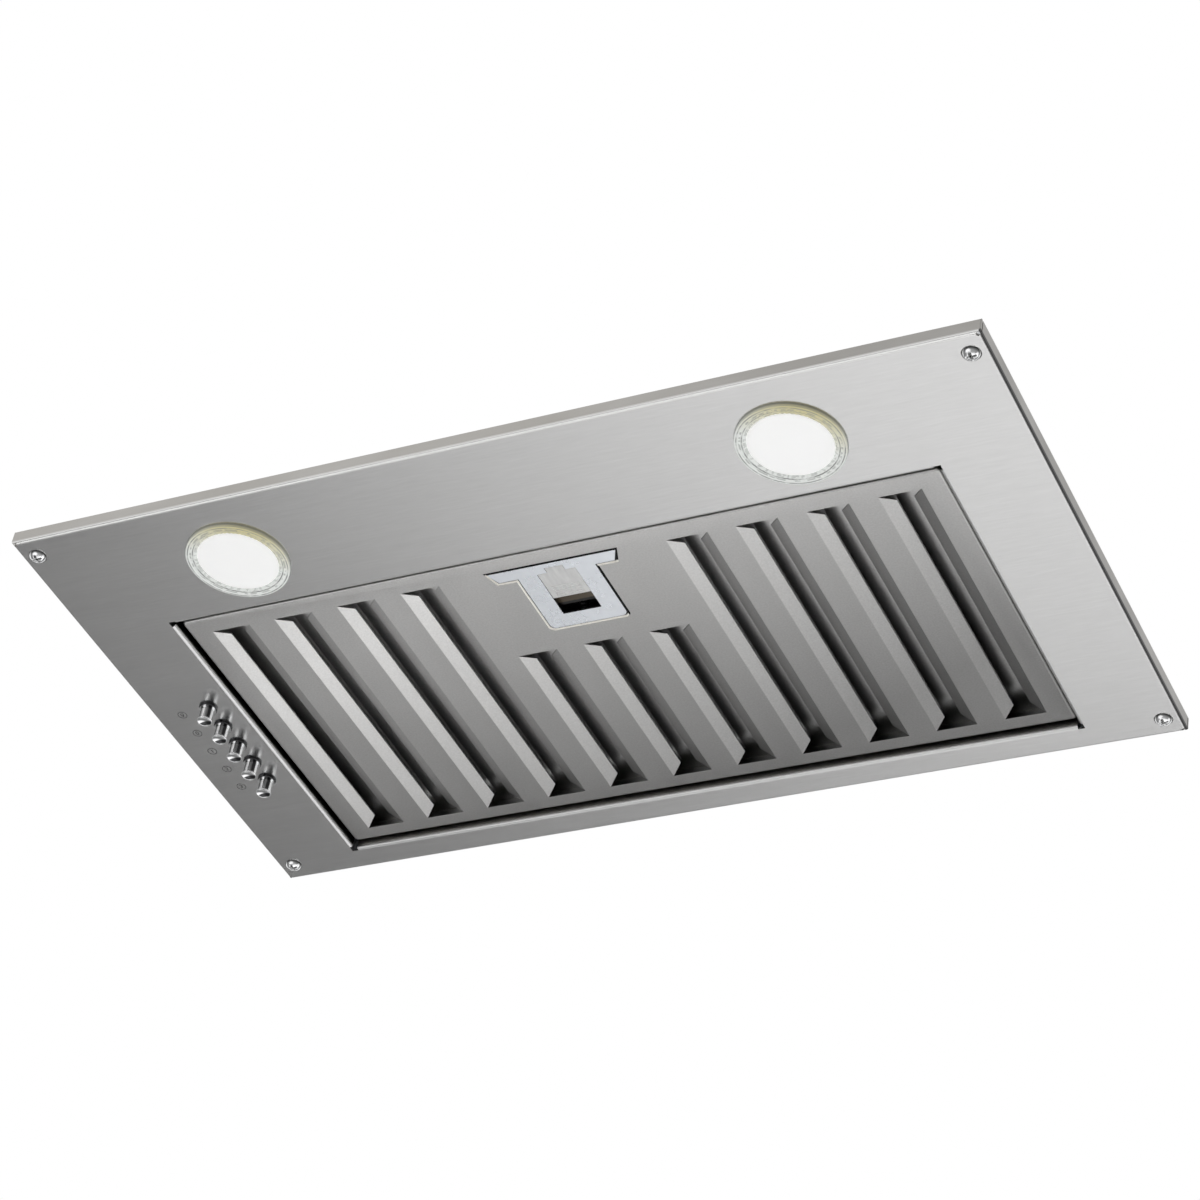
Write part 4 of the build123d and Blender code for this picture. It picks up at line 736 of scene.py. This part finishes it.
class Surface(Enum):
    """Every finish in the scene, one for each material slot of the record and a few more."""

    STAINLESS = BrushedSteel()
    FILTER_STAINLESS = SatinSteel("filter_satin", (0.76, 0.755, 0.745), (0.46, 0.455, 0.45))
    GALVANISED = Galvanised()
    CHROME = PlainMetal("bright_chrome", (0.88, 0.89, 0.9), (0.78, 0.79, 0.8), 0.05, grain_depth=5e-7)
    ZINC_PLATE = PlainMetal("zinc_plating", (0.8, 0.83, 0.87), (0.68, 0.71, 0.75), 0.28)
    CLEAR_GLASS = ClearRim()
    LAMP_LENS = OpalLens()
    ALUMINIUM = PlainMetal("cast_aluminium", (0.78, 0.785, 0.79), (0.62, 0.625, 0.63), 0.42, grain_depth=3e-5)
    BOARD = Moulding("white_solder_mask", (0.93, 0.94, 0.92), (0.8, 0.8, 0.76), 0.35)
    BLACK_PLASTIC = Moulding("black_moulding", (0.035, 0.035, 0.04), (0.09, 0.09, 0.09), 0.45)
    WHITE_PLASTIC = Moulding("white_moulding", (0.62, 0.62, 0.60), (0.5, 0.49, 0.46), 0.4)
    RUBBER = Moulding("black_rubber", (0.03, 0.03, 0.03), (0.08, 0.08, 0.08), 0.7)
    CABLE = Moulding("cable_sheath", (0.08, 0.08, 0.09), (0.16, 0.16, 0.16), 0.5)
    COPPER = Striped("wound_copper", (0.75, 0.36, 0.19), (0.33, 0.13, 0.06), 0.28, 1, 0.8 * MM)
    LAMINATION = Striped("stacked_steel", (0.42, 0.43, 0.45), (0.2, 0.2, 0.21), 0.4, 0, 0.6 * MM)
    BRONZE = PlainMetal("sintered_bronze", (0.66, 0.49, 0.28), (0.5, 0.36, 0.2), 0.45, grain_depth=4e-5)
    ETCHED = EtchedMark()
    BUTTON_CHROME = ButtonChrome()
    SCREW_CHROME = ScrewChrome()
    LATCH_ZINC = LatchZinc()
    SLIDER_ZINC = SliderZinc()
    OILED_SPRING = PlainMetal("oiled_spring_steel", (0.05, 0.05, 0.055), (0.02, 0.02, 0.02), 0.4)

    def material(self) -> bpy.types.Material:
        """The finish's material, built once."""
        return bpy.data.materials.get(self.value.name) or self.value.build()


def dress(piece: Object, finish: Surface) -> Object:
    """Gives a piece one finish all over."""
    piece.data.materials.clear()
    piece.data.materials.append(finish.material())
    return piece


def stand_in(piece: Object, body: str, node: str = "") -> None:
    """Lets a finished piece ride a body, in place of a node if one is given."""
    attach(piece, body)
    if node:
        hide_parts(node)
    log.info("%s: %d faces", piece.name, len(piece.data.polygons))


# --- shapes ---
def linked(name: str, data: Any) -> Object:
    """Object in the scene with the given mesh, curve, light or camera."""
    piece = bpy.data.objects.new(name, data)
    bpy.context.scene.collection.objects.link(piece)
    return piece


def finish_mesh(shell: bmesh.types.BMesh, mesh: bpy.types.Mesh, sharp: float) -> None:
    """Writes a shell to a mesh, softly shaded but crisp where it turns by more than some degrees."""
    shell.to_mesh(mesh)
    shell.free()
    mesh.polygons.foreach_set("use_smooth", np.ones(len(mesh.polygons), dtype=bool))
    mesh.set_sharp_from_angle(angle=math.radians(sharp))


def mesh_piece(name: str, vertices: np.ndarray, faces: np.ndarray, sharp: float = 35.0) -> Object:
    """Object from arrays, with doubles merged, normals outwards and soft shading.

    Args:
        name: the piece's name.
        vertices: n rows of x, y, z.
        faces: m rows of four vertex numbers.
        sharp: edges that turn by more than this many degrees stay crisp.

    Returns:
        The linked object.
    """
    mesh = bpy.data.meshes.new(name)
    mesh.from_pydata(vertices.reshape(-1, 3).tolist(), [], faces.reshape(-1, 4).tolist())
    shell = bmesh.new()
    shell.from_mesh(mesh)
    bmesh.ops.remove_doubles(shell, verts=shell.verts, dist=1e-7)
    bmesh.ops.dissolve_degenerate(shell, edges=shell.edges, dist=1e-8)
    bmesh.ops.recalc_face_normals(shell, faces=shell.faces)
    finish_mesh(shell, mesh, sharp)
    return linked(name, mesh)


def grid_faces(rows: int, columns: int, row_loop: bool = False) -> np.ndarray:
    """Quads between neighbouring points of a grid whose rows are closed rings.

    Args:
        rows: number of rows.
        columns: number of points in each row.
        row_loop: the last row joins the first.

    Returns:
        Array of quads, as vertex numbers.
    """
    row = np.arange(rows if row_loop else rows - 1)[:, None]
    column = np.arange(columns)[None, :]
    next_row = (row + 1) % rows
    next_column = (column + 1) % columns
    corners = [row * columns + column, row * columns + next_column]
    corners += [next_row * columns + next_column, next_row * columns + column]
    return np.stack([np.broadcast_to(c, (len(row), columns)) for c in corners], axis=-1).reshape(-1, 4)


def turned(profile: np.ndarray, steps: int, centre: Sequence[float]) -> np.ndarray:
    """Points of a turned surface: each (radius, height) of the profile goes round the Z axis.

    Args:
        profile: k rows of (radius, height).
        steps: points in one turn.
        centre: x, y and z that are added.

    Returns:
        Array of k by steps points.
    """
    angle = np.linspace(0, FULL_TURN, steps, endpoint=False)[None, :]
    radius = profile[:, 0][:, None]
    height = np.broadcast_to(profile[:, 1][:, None], (len(profile), steps))
    points = np.stack([radius * np.cos(angle), radius * np.sin(angle), height], axis=-1)
    return points + np.asarray(centre)


def joined(name: str, pieces: Sequence[Object]) -> Object:
    """One object from several, which are removed."""
    whole = bmesh.new()
    for piece in pieces:
        whole.from_mesh(piece.data)
        bpy.data.objects.remove(piece)
    mesh = bpy.data.meshes.new(name)
    whole.to_mesh(mesh)
    whole.free()
    return linked(name, mesh)


def crisp_copy(node: str, width: float) -> Object:
    """Copy of a CAD node with its doubles merged, flat faces joined and sharp edges slightly broken.

    Args:
        node: the CAD node.
        width: how far each sharp edge is cut back.

    Returns:
        The linked copy, with "_dressed" after the node's name.
    """
    mesh = frame["nodes"][node].data.copy()
    shell = bmesh.new()
    shell.from_mesh(mesh)
    bmesh.ops.remove_doubles(shell, verts=shell.verts, dist=2e-6)
    bmesh.ops.dissolve_limit(
        shell, angle_limit=math.radians(SAME_PLANE), verts=shell.verts, edges=shell.edges, delimit={"NORMAL"}
    )
    finish_mesh(shell, mesh, FLAT_TURN)
    copy = linked(f"{node}_dressed", mesh)
    edge = copy.modifiers.new("broken_edges", "BEVEL")
    edge.width = width
    edge.segments = 2
    edge.limit_method = "ANGLE"
    edge.angle_limit = math.radians(FLAT_TURN)
    edge.harden_normals = True
    return copy


def box_middle(node: str) -> Triple:
    """Middle of a node's box."""
    low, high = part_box(node)
    return tuple((low + high) / 2)


def lamp_centre(side: str) -> Triple:
    """Middle of a lamp at its lowest point."""
    x, y, _ = box_middle(f"lamp_rim_{side}")
    return x, y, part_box(f"lamp_rim_{side}")[0].z


# --- lamps ---
@dataclass
class Lamps:
    """Both lamps: faceted clear rims round the lit lenses."""

    rim_radius: float = 26.65 * MM
    lens_radius: float = 20.85 * MM
    shelf_radius: float = 19.5 * MM
    shelf_height: float = 2.7 * MM
    edge_round: float = 0.25 * MM
    lens_step: float = 0.15 * MM
    edge_height: float = 0.45 * MM
    face_rise: float = 0.385 * MM
    face_points: int = 31
    ridge: float = 0.28 * MM
    facet_reach: float = 1.2 * MM
    facets: int = 60
    facet_depth: float = 0.3 * MM
    facet_steps: int = 6

    def profile(self, height: float) -> np.ndarray:
        """Closed section of a rim: lip, three rolled ridges, the step down to the lens and the shelf."""
        inner, outer = self.lens_radius, self.rim_radius
        share = np.linspace(0, 1, self.face_points)
        start, end = outer - self.edge_round, inner + self.lens_step
        face_z = self.ridge * (1 - np.abs(np.sin(3 * math.pi * share))) + self.face_rise * share**2
        face = np.stack([start - share * (start - end), face_z], axis=1)
        rest = np.array([
            (inner, face_z[-1] + self.lens_step), (inner, self.shelf_height),
            (self.shelf_radius, self.shelf_height), (self.shelf_radius, height),
            (outer, height), (outer, self.edge_height),
        ])
        return np.concatenate([face, rest])

    def rim(self, side: str) -> Object:
        """Ring turned from its profile; small radial facets lift the inner part of its face.

        The lift is facet_depth times a triangle wave of the angle, times how near the point
        is to the lens.
        """
        low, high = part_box(f"lamp_rim_{side}")
        profile = self.profile(high.z - low.z)
        steps = self.facets * self.facet_steps
        points = turned(profile, steps, (0, 0, 0))
        phase = np.arange(steps) / self.facet_steps % 1.0
        wave = 1 - np.abs(2 * phase - 1)
        near = np.clip((self.rim_radius - profile[:, 0]) / (self.rim_radius - self.lens_radius), 0, 1)
        near = near * (profile[:, 1] < self.facet_reach)
        points[:, :, 2] += self.facet_depth * near[:, None] * wave[None, :]
        points += np.asarray(lamp_centre(side))
        faces = grid_faces(len(profile), steps, row_loop=True)
        return mesh_piece(f"lamp_rim_clear_{side}", points, faces, 25.0)

    def build(self) -> None:
        """Both rims in place of their CAD rings."""
        for side in ("left", "right"):
            rim = dress(self.rim(side), Surface.CLEAR_GLASS)
            stand_in(rim, "housing", f"lamp_rim_{side}")


# --- screws ---
@dataclass
class CornerScrews:
    """Four pan-head mounting screws with a cross recess and a coarse thread."""

    head_radius: float = 4.8 * MM
    head_height: float = 2.6 * MM
    shank_radius: float = 2.4 * MM
    root: float = 0.55 * MM
    pitch: float = 1.9 * MM
    recess_half: float = 2.6 * MM
    recess_width: float = 0.75 * MM
    recess_depth: float = 1.7 * MM
    recess_slope: float = 0.25 * MM
    run_in: float = 2.2 * MM
    point: float = 3.6 * MM
    steps: int = 64

    def head(self, underside: float) -> tuple[np.ndarray, np.ndarray]:
        """Radii and heights from the middle of the head's face to the shank.

        The face is a shallow dome, head_height (1 - r^3.2) high, where r is the share of the radius.
        """
        share = np.linspace(0, 1, 27) ** 0.9
        radius = self.head_radius * np.sin(share * math.pi / 2) ** 0.8
        height = underside - self.head_height * (1 - (radius / self.head_radius) ** 3.2)
        return np.append(radius, self.shank_radius), np.append(height, underside)

    def recess(self, x: np.ndarray, y: np.ndarray) -> np.ndarray:
        """Depth of the cross recess.

        Each arm is a groove whose depth falls off linearly from the middle to the arm's end, and
        steeply at its sides.
        """
        reach = np.maximum(np.abs(x), np.abs(y))
        off = np.minimum(np.abs(x), np.abs(y))
        side = np.clip((self.recess_width - off) / self.recess_slope, 0, 1)
        along = np.clip(1.15 - reach / self.recess_half, 0, 1)
        return self.recess_depth * side * along

    def thread(self, start: float, end: float) -> tuple[np.ndarray, np.ndarray]:
        """Heights from under the head to the tip, and the thickness left at each, as a share."""
        height = np.linspace(start, end, int((end - start) / self.pitch * 12))
        taper = np.clip((end - height) / self.point, 0, 1) ** 0.8
        return height, taper

    def screw(self, centre: Pair, underside: float, tip: float) -> Object:
        """One screw as a single grid of rings from the head's middle to the tip.

        The thread's radius is root radius plus a triangle wave of (height / pitch - turn).
        """
        turn = np.arange(self.steps) / self.steps
        head_r, head_z = self.head(underside)
        shank_z, taper = self.thread(underside, tip)
        phase = (shank_z[:, None] / self.pitch - turn[None, :]) % 1.0
        ridge = np.clip(1 - np.abs(phase - 0.5) * 3.4, 0, 1)
        grown = np.clip((shank_z - underside) / self.run_in, 0, 1)[:, None]
        core = (self.shank_radius - self.root) * taper[:, None]
        shank_r = core + self.root * ridge * grown * np.clip(taper * 1.6, 0, 1)[:, None]
        radius = np.concatenate([np.repeat(head_r[:, None], self.steps, axis=1), shank_r])
        height = np.concatenate([head_z, shank_z])[:, None] + np.zeros_like(radius)
        x = radius * np.cos(FULL_TURN * turn)
        y = radius * np.sin(FULL_TURN * turn)
        rows = len(head_r) - 1
        height[:rows] += self.recess(x[:rows], y[:rows])
        points = np.stack([x + centre[0], y + centre[1], height], axis=-1)
        return mesh_piece("screw", points, grid_faces(len(radius), self.steps), 40.0)

    def build(self) -> None:
        """The four screws in place of their CAD solids."""
        low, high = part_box("corner_screws")
        underside = low.z + self.head_height
        xs = (low.x + self.head_radius, high.x - self.head_radius)
        ys = (low.y + self.head_radius, high.y - self.head_radius)
        screws = [self.screw((x, y), underside, high.z) for x in xs for y in ys]
        whole = dress(joined("corner_screws_threaded", screws), Surface.SCREW_CHROME)
        stand_in(whole, "housing", "corner_screws")


# --- buttons ---
class Mark(Enum):
    """What is etched beside each push button."""

    LIGHT = "light"
    OFF = "0"
    LOW = "1"
    MEDIUM = "2"
    HIGH = "3"


@dataclass
class Buttons:
    """Five push buttons with a dished tip, a flared cap and a smooth body, and their collars."""

    cap_radius: float = 4.1 * MM
    body_radius: float = 3.5 * MM
    dish: float = 0.8 * MM
    cap_height: float = 2.4 * MM
    rim: float = 0.35 * MM
    stem_radius: float = 2.0 * MM
    shoulder: float = 2.0 * MM
    steps: int = 72

    def profile(self, tip: float, top: float) -> np.ndarray:
        """Radii and heights: dish 1 - r^2 deep, rolled rim, cosine flare up to the body, shoulder and stem."""
        share = np.linspace(0, 1, 14)
        flat = self.cap_radius - self.rim
        face = np.stack([share * flat, tip + self.dish * (1 - share**2)], axis=1)
        turn = np.linspace(-math.pi / 2, math.pi / 2, 9)[1:]
        middle = tip + self.rim
        roll = np.stack([flat + self.rim * np.cos(turn), middle + self.rim * np.sin(turn)], axis=1)
        start, end = middle + self.rim, tip + self.cap_height
        drop = (1 + np.cos(math.pi * share[1:])) / 2
        flare_r = self.body_radius + (flat - self.body_radius) * drop
        flare = np.stack([flare_r, start + (end - start) * share[1:]], axis=1)
        body = np.array([(self.body_radius, 0.0), (self.body_radius, self.shoulder)])
        stem = np.array([(self.stem_radius, self.shoulder), (self.stem_radius, top), (0.0, top)])
        return np.concatenate([face, roll, flare, body, stem])

    def build(self) -> None:
        """The buttons in place of the CAD nodes; the collars keep their shape."""
        for mark in Mark:
            node = f"button_{mark.name.lower()}"
            low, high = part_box(node)
            profile = self.profile(low.z, high.z)
            points = turned(profile, self.steps, (*box_middle(node)[:2], 0))
            piece = mesh_piece(f"push_{mark.name.lower()}", points, grid_faces(len(profile), self.steps))
            button = dress(piece, Surface.BUTTON_CHROME)
            stand_in(button, node, node)
        dress(frame["nodes"]["switch_bezels"], Surface.BUTTON_CHROME)


@dataclass
class ButtonMarks:
    """Thin etched rings with a lamp sign or a digit, one beside each button.

    The lamp sign's ring and bars are pairs of a shift along Y and a radius or half length.
    """

    x: float = -244.5 * MM
    shift_y: float = 1.8 * MM
    ring_radius: float = 2.45 * MM
    line: float = 0.34 * MM
    thickness: float = 0.03 * MM
    digit_size: float = 4.0 * MM
    bulb: Pair = (-0.35 * MM, 0.85 * MM)
    bars: tuple[Pair, ...] = ((0.85 * MM, 0.5 * MM), (1.35 * MM, 0.35 * MM))
    steps: int = 48

    def ring(self, centre: Pair, radius: float, underside: float) -> Object:
        """Flat ring as a turned rectangle."""
        inner, outer = radius - self.line / 2, radius + self.line / 2
        low, high = underside - self.thickness, underside + self.thickness
        profile = np.array([(inner, low), (outer, low), (outer, high), (inner, high)])
        points = turned(profile, self.steps, (*centre, 0))
        return mesh_piece("ring", points, grid_faces(len(profile), self.steps, row_loop=True))

    def bar(self, centre: Pair, half: float, underside: float) -> Object:
        """Short flat bar along X, as two rings of four corners."""
        x = np.array([-half, half])[:, None] + centre[0]
        y = np.array([-1, 1, 1, -1])[None, :] * self.line / 2 + centre[1]
        z = np.array([-1, -1, 1, 1])[None, :] * self.thickness + underside
        points = np.stack(np.broadcast_arrays(x, y, z), axis=-1)
        ends = np.array([[0, 1, 2, 3], [4, 5, 6, 7]])
        return mesh_piece("bar", points, np.concatenate([grid_faces(2, 4), ends]))

    def digit(self, text: str, centre: Pair, underside: float) -> Object:
        """Digit that reads upright for someone in front who looks up."""
        curve = bpy.data.curves.new("digit", "FONT")
        curve.body = text
        curve.size = self.digit_size
        curve.align_x, curve.align_y = "CENTER", "CENTER"
        curve.extrude = self.thickness
        letter = linked("digit", curve)
        bpy.context.view_layer.update()
        mesh = bpy.data.meshes.new_from_object(letter.evaluated_get(bpy.context.evaluated_depsgraph_get()))
        bpy.data.objects.remove(letter)
        mesh.transform(Matrix.Translation((*centre, underside)) @ Matrix.Rotation(math.pi, 4, "X"))
        return linked("digit", mesh)

    def build(self) -> None:
        """Five marks on the face plate."""
        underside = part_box("face_plate")[0].z
        for mark in Mark:
            centre = (self.x, box_middle(f"button_{mark.name.lower()}")[1] + self.shift_y)
            pieces = [self.ring(centre, self.ring_radius, underside)]
            if mark is Mark.LIGHT:
                shift, radius = self.bulb
                pieces.append(self.ring((centre[0], centre[1] + shift), radius, underside))
                for shift, half in self.bars:
                    pieces.append(self.bar((centre[0], centre[1] + shift), half, underside))
            else:
                pieces.append(self.digit(mark.value, centre, underside))
            whole = dress(joined(f"etched_{mark.name.lower()}", pieces), Surface.ETCHED)
            stand_in(whole, "housing")


# --- CAD nodes ---
@dataclass
class CadNodes:
    """Every CAD node that stays, with the finish of its material slot."""

    def build(self) -> None:
        """Dresses each node by the record's slot."""
        for subpart in frame["record"]["subparts"]:
            finish = Surface[subpart["material_slot"].upper()]
            dress(frame["nodes"][subpart["node"]], finish)


# --- filter ---
@dataclass
class Filter:
    """Lower slotted sheet and latch, with their cut edges broken so that they catch the light."""

    sheet_break: float = 0.36 * MM
    latch_break: float = 0.12 * MM
    latch_travel: float = 6.0 * MM
    coil_radius: float = 1.45 * MM
    wire_radius: float = 0.45 * MM
    coils: float = 5.0
    coil_steps: int = 123
    wire_steps: int = 10

    def spring(self) -> None:
        """Coil spring behind the slider, built at one length; the real one shortens as the slider is pushed
        back.

        Its middle line is a circle of the coil's radius that moves along Y in step with the turn, and
        the wire is a circle round that line, shrunk to a point at both ends.
        """
        low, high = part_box("latch_spring")
        middle = np.array([(low.x + high.x) / 2, 0.0, (low.z + high.z) / 2])
        along = np.array([0.0, 1.0, 0.0])
        share = np.clip((np.arange(self.coil_steps) - 1) / (self.coil_steps - 3), 0.0, 1.0)[:, None, None]
        thick = np.full_like(share, self.wire_radius)
        thick[[0, -1]] = 0.0
        turn = FULL_TURN * self.coils * share
        around = np.linspace(0.0, FULL_TURN, self.wire_steps, endpoint=False)[None, :, None]
        outward = np.concatenate([np.cos(turn), np.zeros_like(turn), np.sin(turn)], axis=2)
        start, end = low.y + self.wire_radius, high.y - self.wire_radius
        line = middle + outward * self.coil_radius + (start + (end - start) * share) * along
        wire = outward * np.cos(around) + along * np.sin(around)
        faces = grid_faces(self.coil_steps, self.wire_steps)
        coil = dress(mesh_piece("latch_coil", line + wire * thick, faces), Surface.OILED_SPRING)
        stand_in(coil, "filter", "latch_spring")
        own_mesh(coil)

    def build(self) -> None:
        """Copies of the lower sheet, latch plate and slider, and a new spring, in place of CAD nodes."""
        for node, body, width, finish, slot in (
            ("baffle_face", "filter", self.sheet_break, Surface.FILTER_STAINLESS, "filter_stainless"),
            ("latch_plate", "filter", self.latch_break, Surface.LATCH_ZINC, "zinc_plate"),
            ("latch_slider", "latch", self.latch_break, Surface.SLIDER_ZINC, "zinc_plate"),
        ):
            stand_in(dress(crisp_copy(node, width), finish), body, node)
        self.spring()


# --- studio ---
@dataclass
class Softbox:
    """Square area light that neither the camera nor the metal sees; its spread is in degrees."""

    name: str
    place: Triple
    side: float
    power: float
    aim: Triple = (0.0, 0.0, 0.1)
    spread: float = 40.0

    def build(self) -> None:
        """Adds the light and turns it towards its aim."""
        light = bpy.data.lights.new(self.name, "AREA")
        light.size = self.side
        light.energy = self.power
        light.spread = math.radians(self.spread)
        lamp = linked(self.name, light)
        lamp.location = self.place
        away = Vector(self.aim) - Vector(self.place)
        lamp.rotation_euler = away.to_track_quat("-Z", "Y").to_euler()
        lamp.visible_camera = False
        lamp.visible_glossy = False


@dataclass
class FloorLamp:
    """Soft round lamp that lights a pool of the floor, which the underside mirrors.

    Its angle is in degrees.
    """

    name: str
    place: Triple
    power: float
    angle: float = 58.0
    softness: float = 0.7
    radius: float = 0.3

    def build(self) -> None:
        """Adds the lamp, which shines straight down."""
        light = bpy.data.lights.new(self.name, "SPOT")
        light.spot_size = math.radians(self.angle)
        light.spot_blend = self.softness
        light.shadow_soft_size = self.radius
        light.energy = self.power
        linked(self.name, light).location = self.place


@dataclass
class Studio:
    """Pale floor far below, white surroundings, soft lights and the camera."""

    floor_z: float = -2.4
    floor_half: float = 14.0
    floor_tone: float = 0.8
    matt_sky: float = 0.24
    camera_place: Triple = (0.7272, -1.1521, -1.1017)
    camera_right: Triple = (0.89415, 0.42348, 0.14544)
    camera_up: Triple = (0.17484, -0.62924, 0.75729)
    camera_back: Triple = (0.41222, -0.65170, -0.63668)
    lens: float = 104.92
    sensor: float = 36.0
    nearest: float = 0.01
    farthest: float = 60.0

    def floor(self) -> None:
        """Plain pale matt floor, which the steel's underside mirrors."""
        h = self.floor_half
        points = np.array([(-h, -h, 0.0), (h, -h, 0.0), (h, h, 0.0), (-h, h, 0.0)])
        floor = mesh_piece("studio_floor", points, np.array([[0, 1, 2, 3]]))
        floor.location.z = self.floor_z
        material, graph = new_material("studio_floor")
        tone = (self.floor_tone,) * 3
        graph.output(graph.node("BsdfDiffuse", {}, {"Color": tone}).outputs[0])
        floor.data.materials.append(material)

    def world(self) -> None:
        """White to the camera, to metal and to glass; dim to matt surfaces, which the lamps light."""
        world = bpy.data.worlds.new("studio")
        bpy.context.scene.world = world
        world.use_nodes = True
        graph = Graph(world.node_tree)
        rays = graph.node("LightPath", {}, {})
        kinds = ("Camera", "Glossy", "Transmission")
        shown = sum(Value(graph, rays.outputs[f"Is {kind} Ray"]) for kind in kinds).kept()
        strength = shown * (1.0 - self.matt_sky) + self.matt_sky
        back = graph.node("Background", {}, {"Color": (1.0, 1.0, 1.0), "Strength": strength})
        graph.node("OutputWorld", {}, {"Surface": back.outputs[0]})

    def lights(self) -> None:
        """Lamps that fill the floor behind, to the right and in front, and soft lights round the object."""
        for light in (
            FloorLamp("floor_back", (0.1, 1.65, 2.1), 1050.0),
            FloorLamp("floor_right", (3.2, 2.6, 2.1), 900.0),
            FloorLamp("floor_front", (-1.5, -2.5, 2.1), 970.0),
            Softbox("key_above", (-1.2, 2.2, 2.4), 1.6, 8.0),
            Softbox("fill_left", (-2.6, 0.3, 1.4), 1.4, 5.0),
            Softbox("fill_right", (2.6, -0.6, 1.6), 1.4, 4.0),
        ):
            light.build()

    def camera(self) -> None:
        """Camera at the photograph's place, as its three axes give it."""
        data = bpy.data.cameras.new("camera")
        data.lens = self.lens
        data.sensor_width = self.sensor
        data.dof.use_dof = False
        data.clip_start, data.clip_end = self.nearest, self.farthest
        camera = linked("camera", data)
        turn = Matrix((self.camera_right, self.camera_up, self.camera_back)).transposed()
        camera.matrix_world = Matrix.Translation(self.camera_place) @ turn.to_4x4()
        bpy.context.scene.camera = camera

    def build(self) -> None:
        """The whole studio."""
        self.floor()
        self.world()
        self.lights()
        self.camera()
        bpy.context.scene.view_settings.view_transform = "Standard"
        log.info("studio: floor at %.2f m", self.floor_z)


def main() -> None:
    """Dresses the model, adds its fine pieces and sets up the studio."""
    logging.basicConfig(level=logging.INFO, format="%(name)s: %(message)s")
    CadNodes().build()
    Lamps().build()
    CornerScrews().build()
    Buttons().build()
    ButtonMarks().build()
    Filter().build()
    Studio().build()


if __name__ == "__main__":
    main()
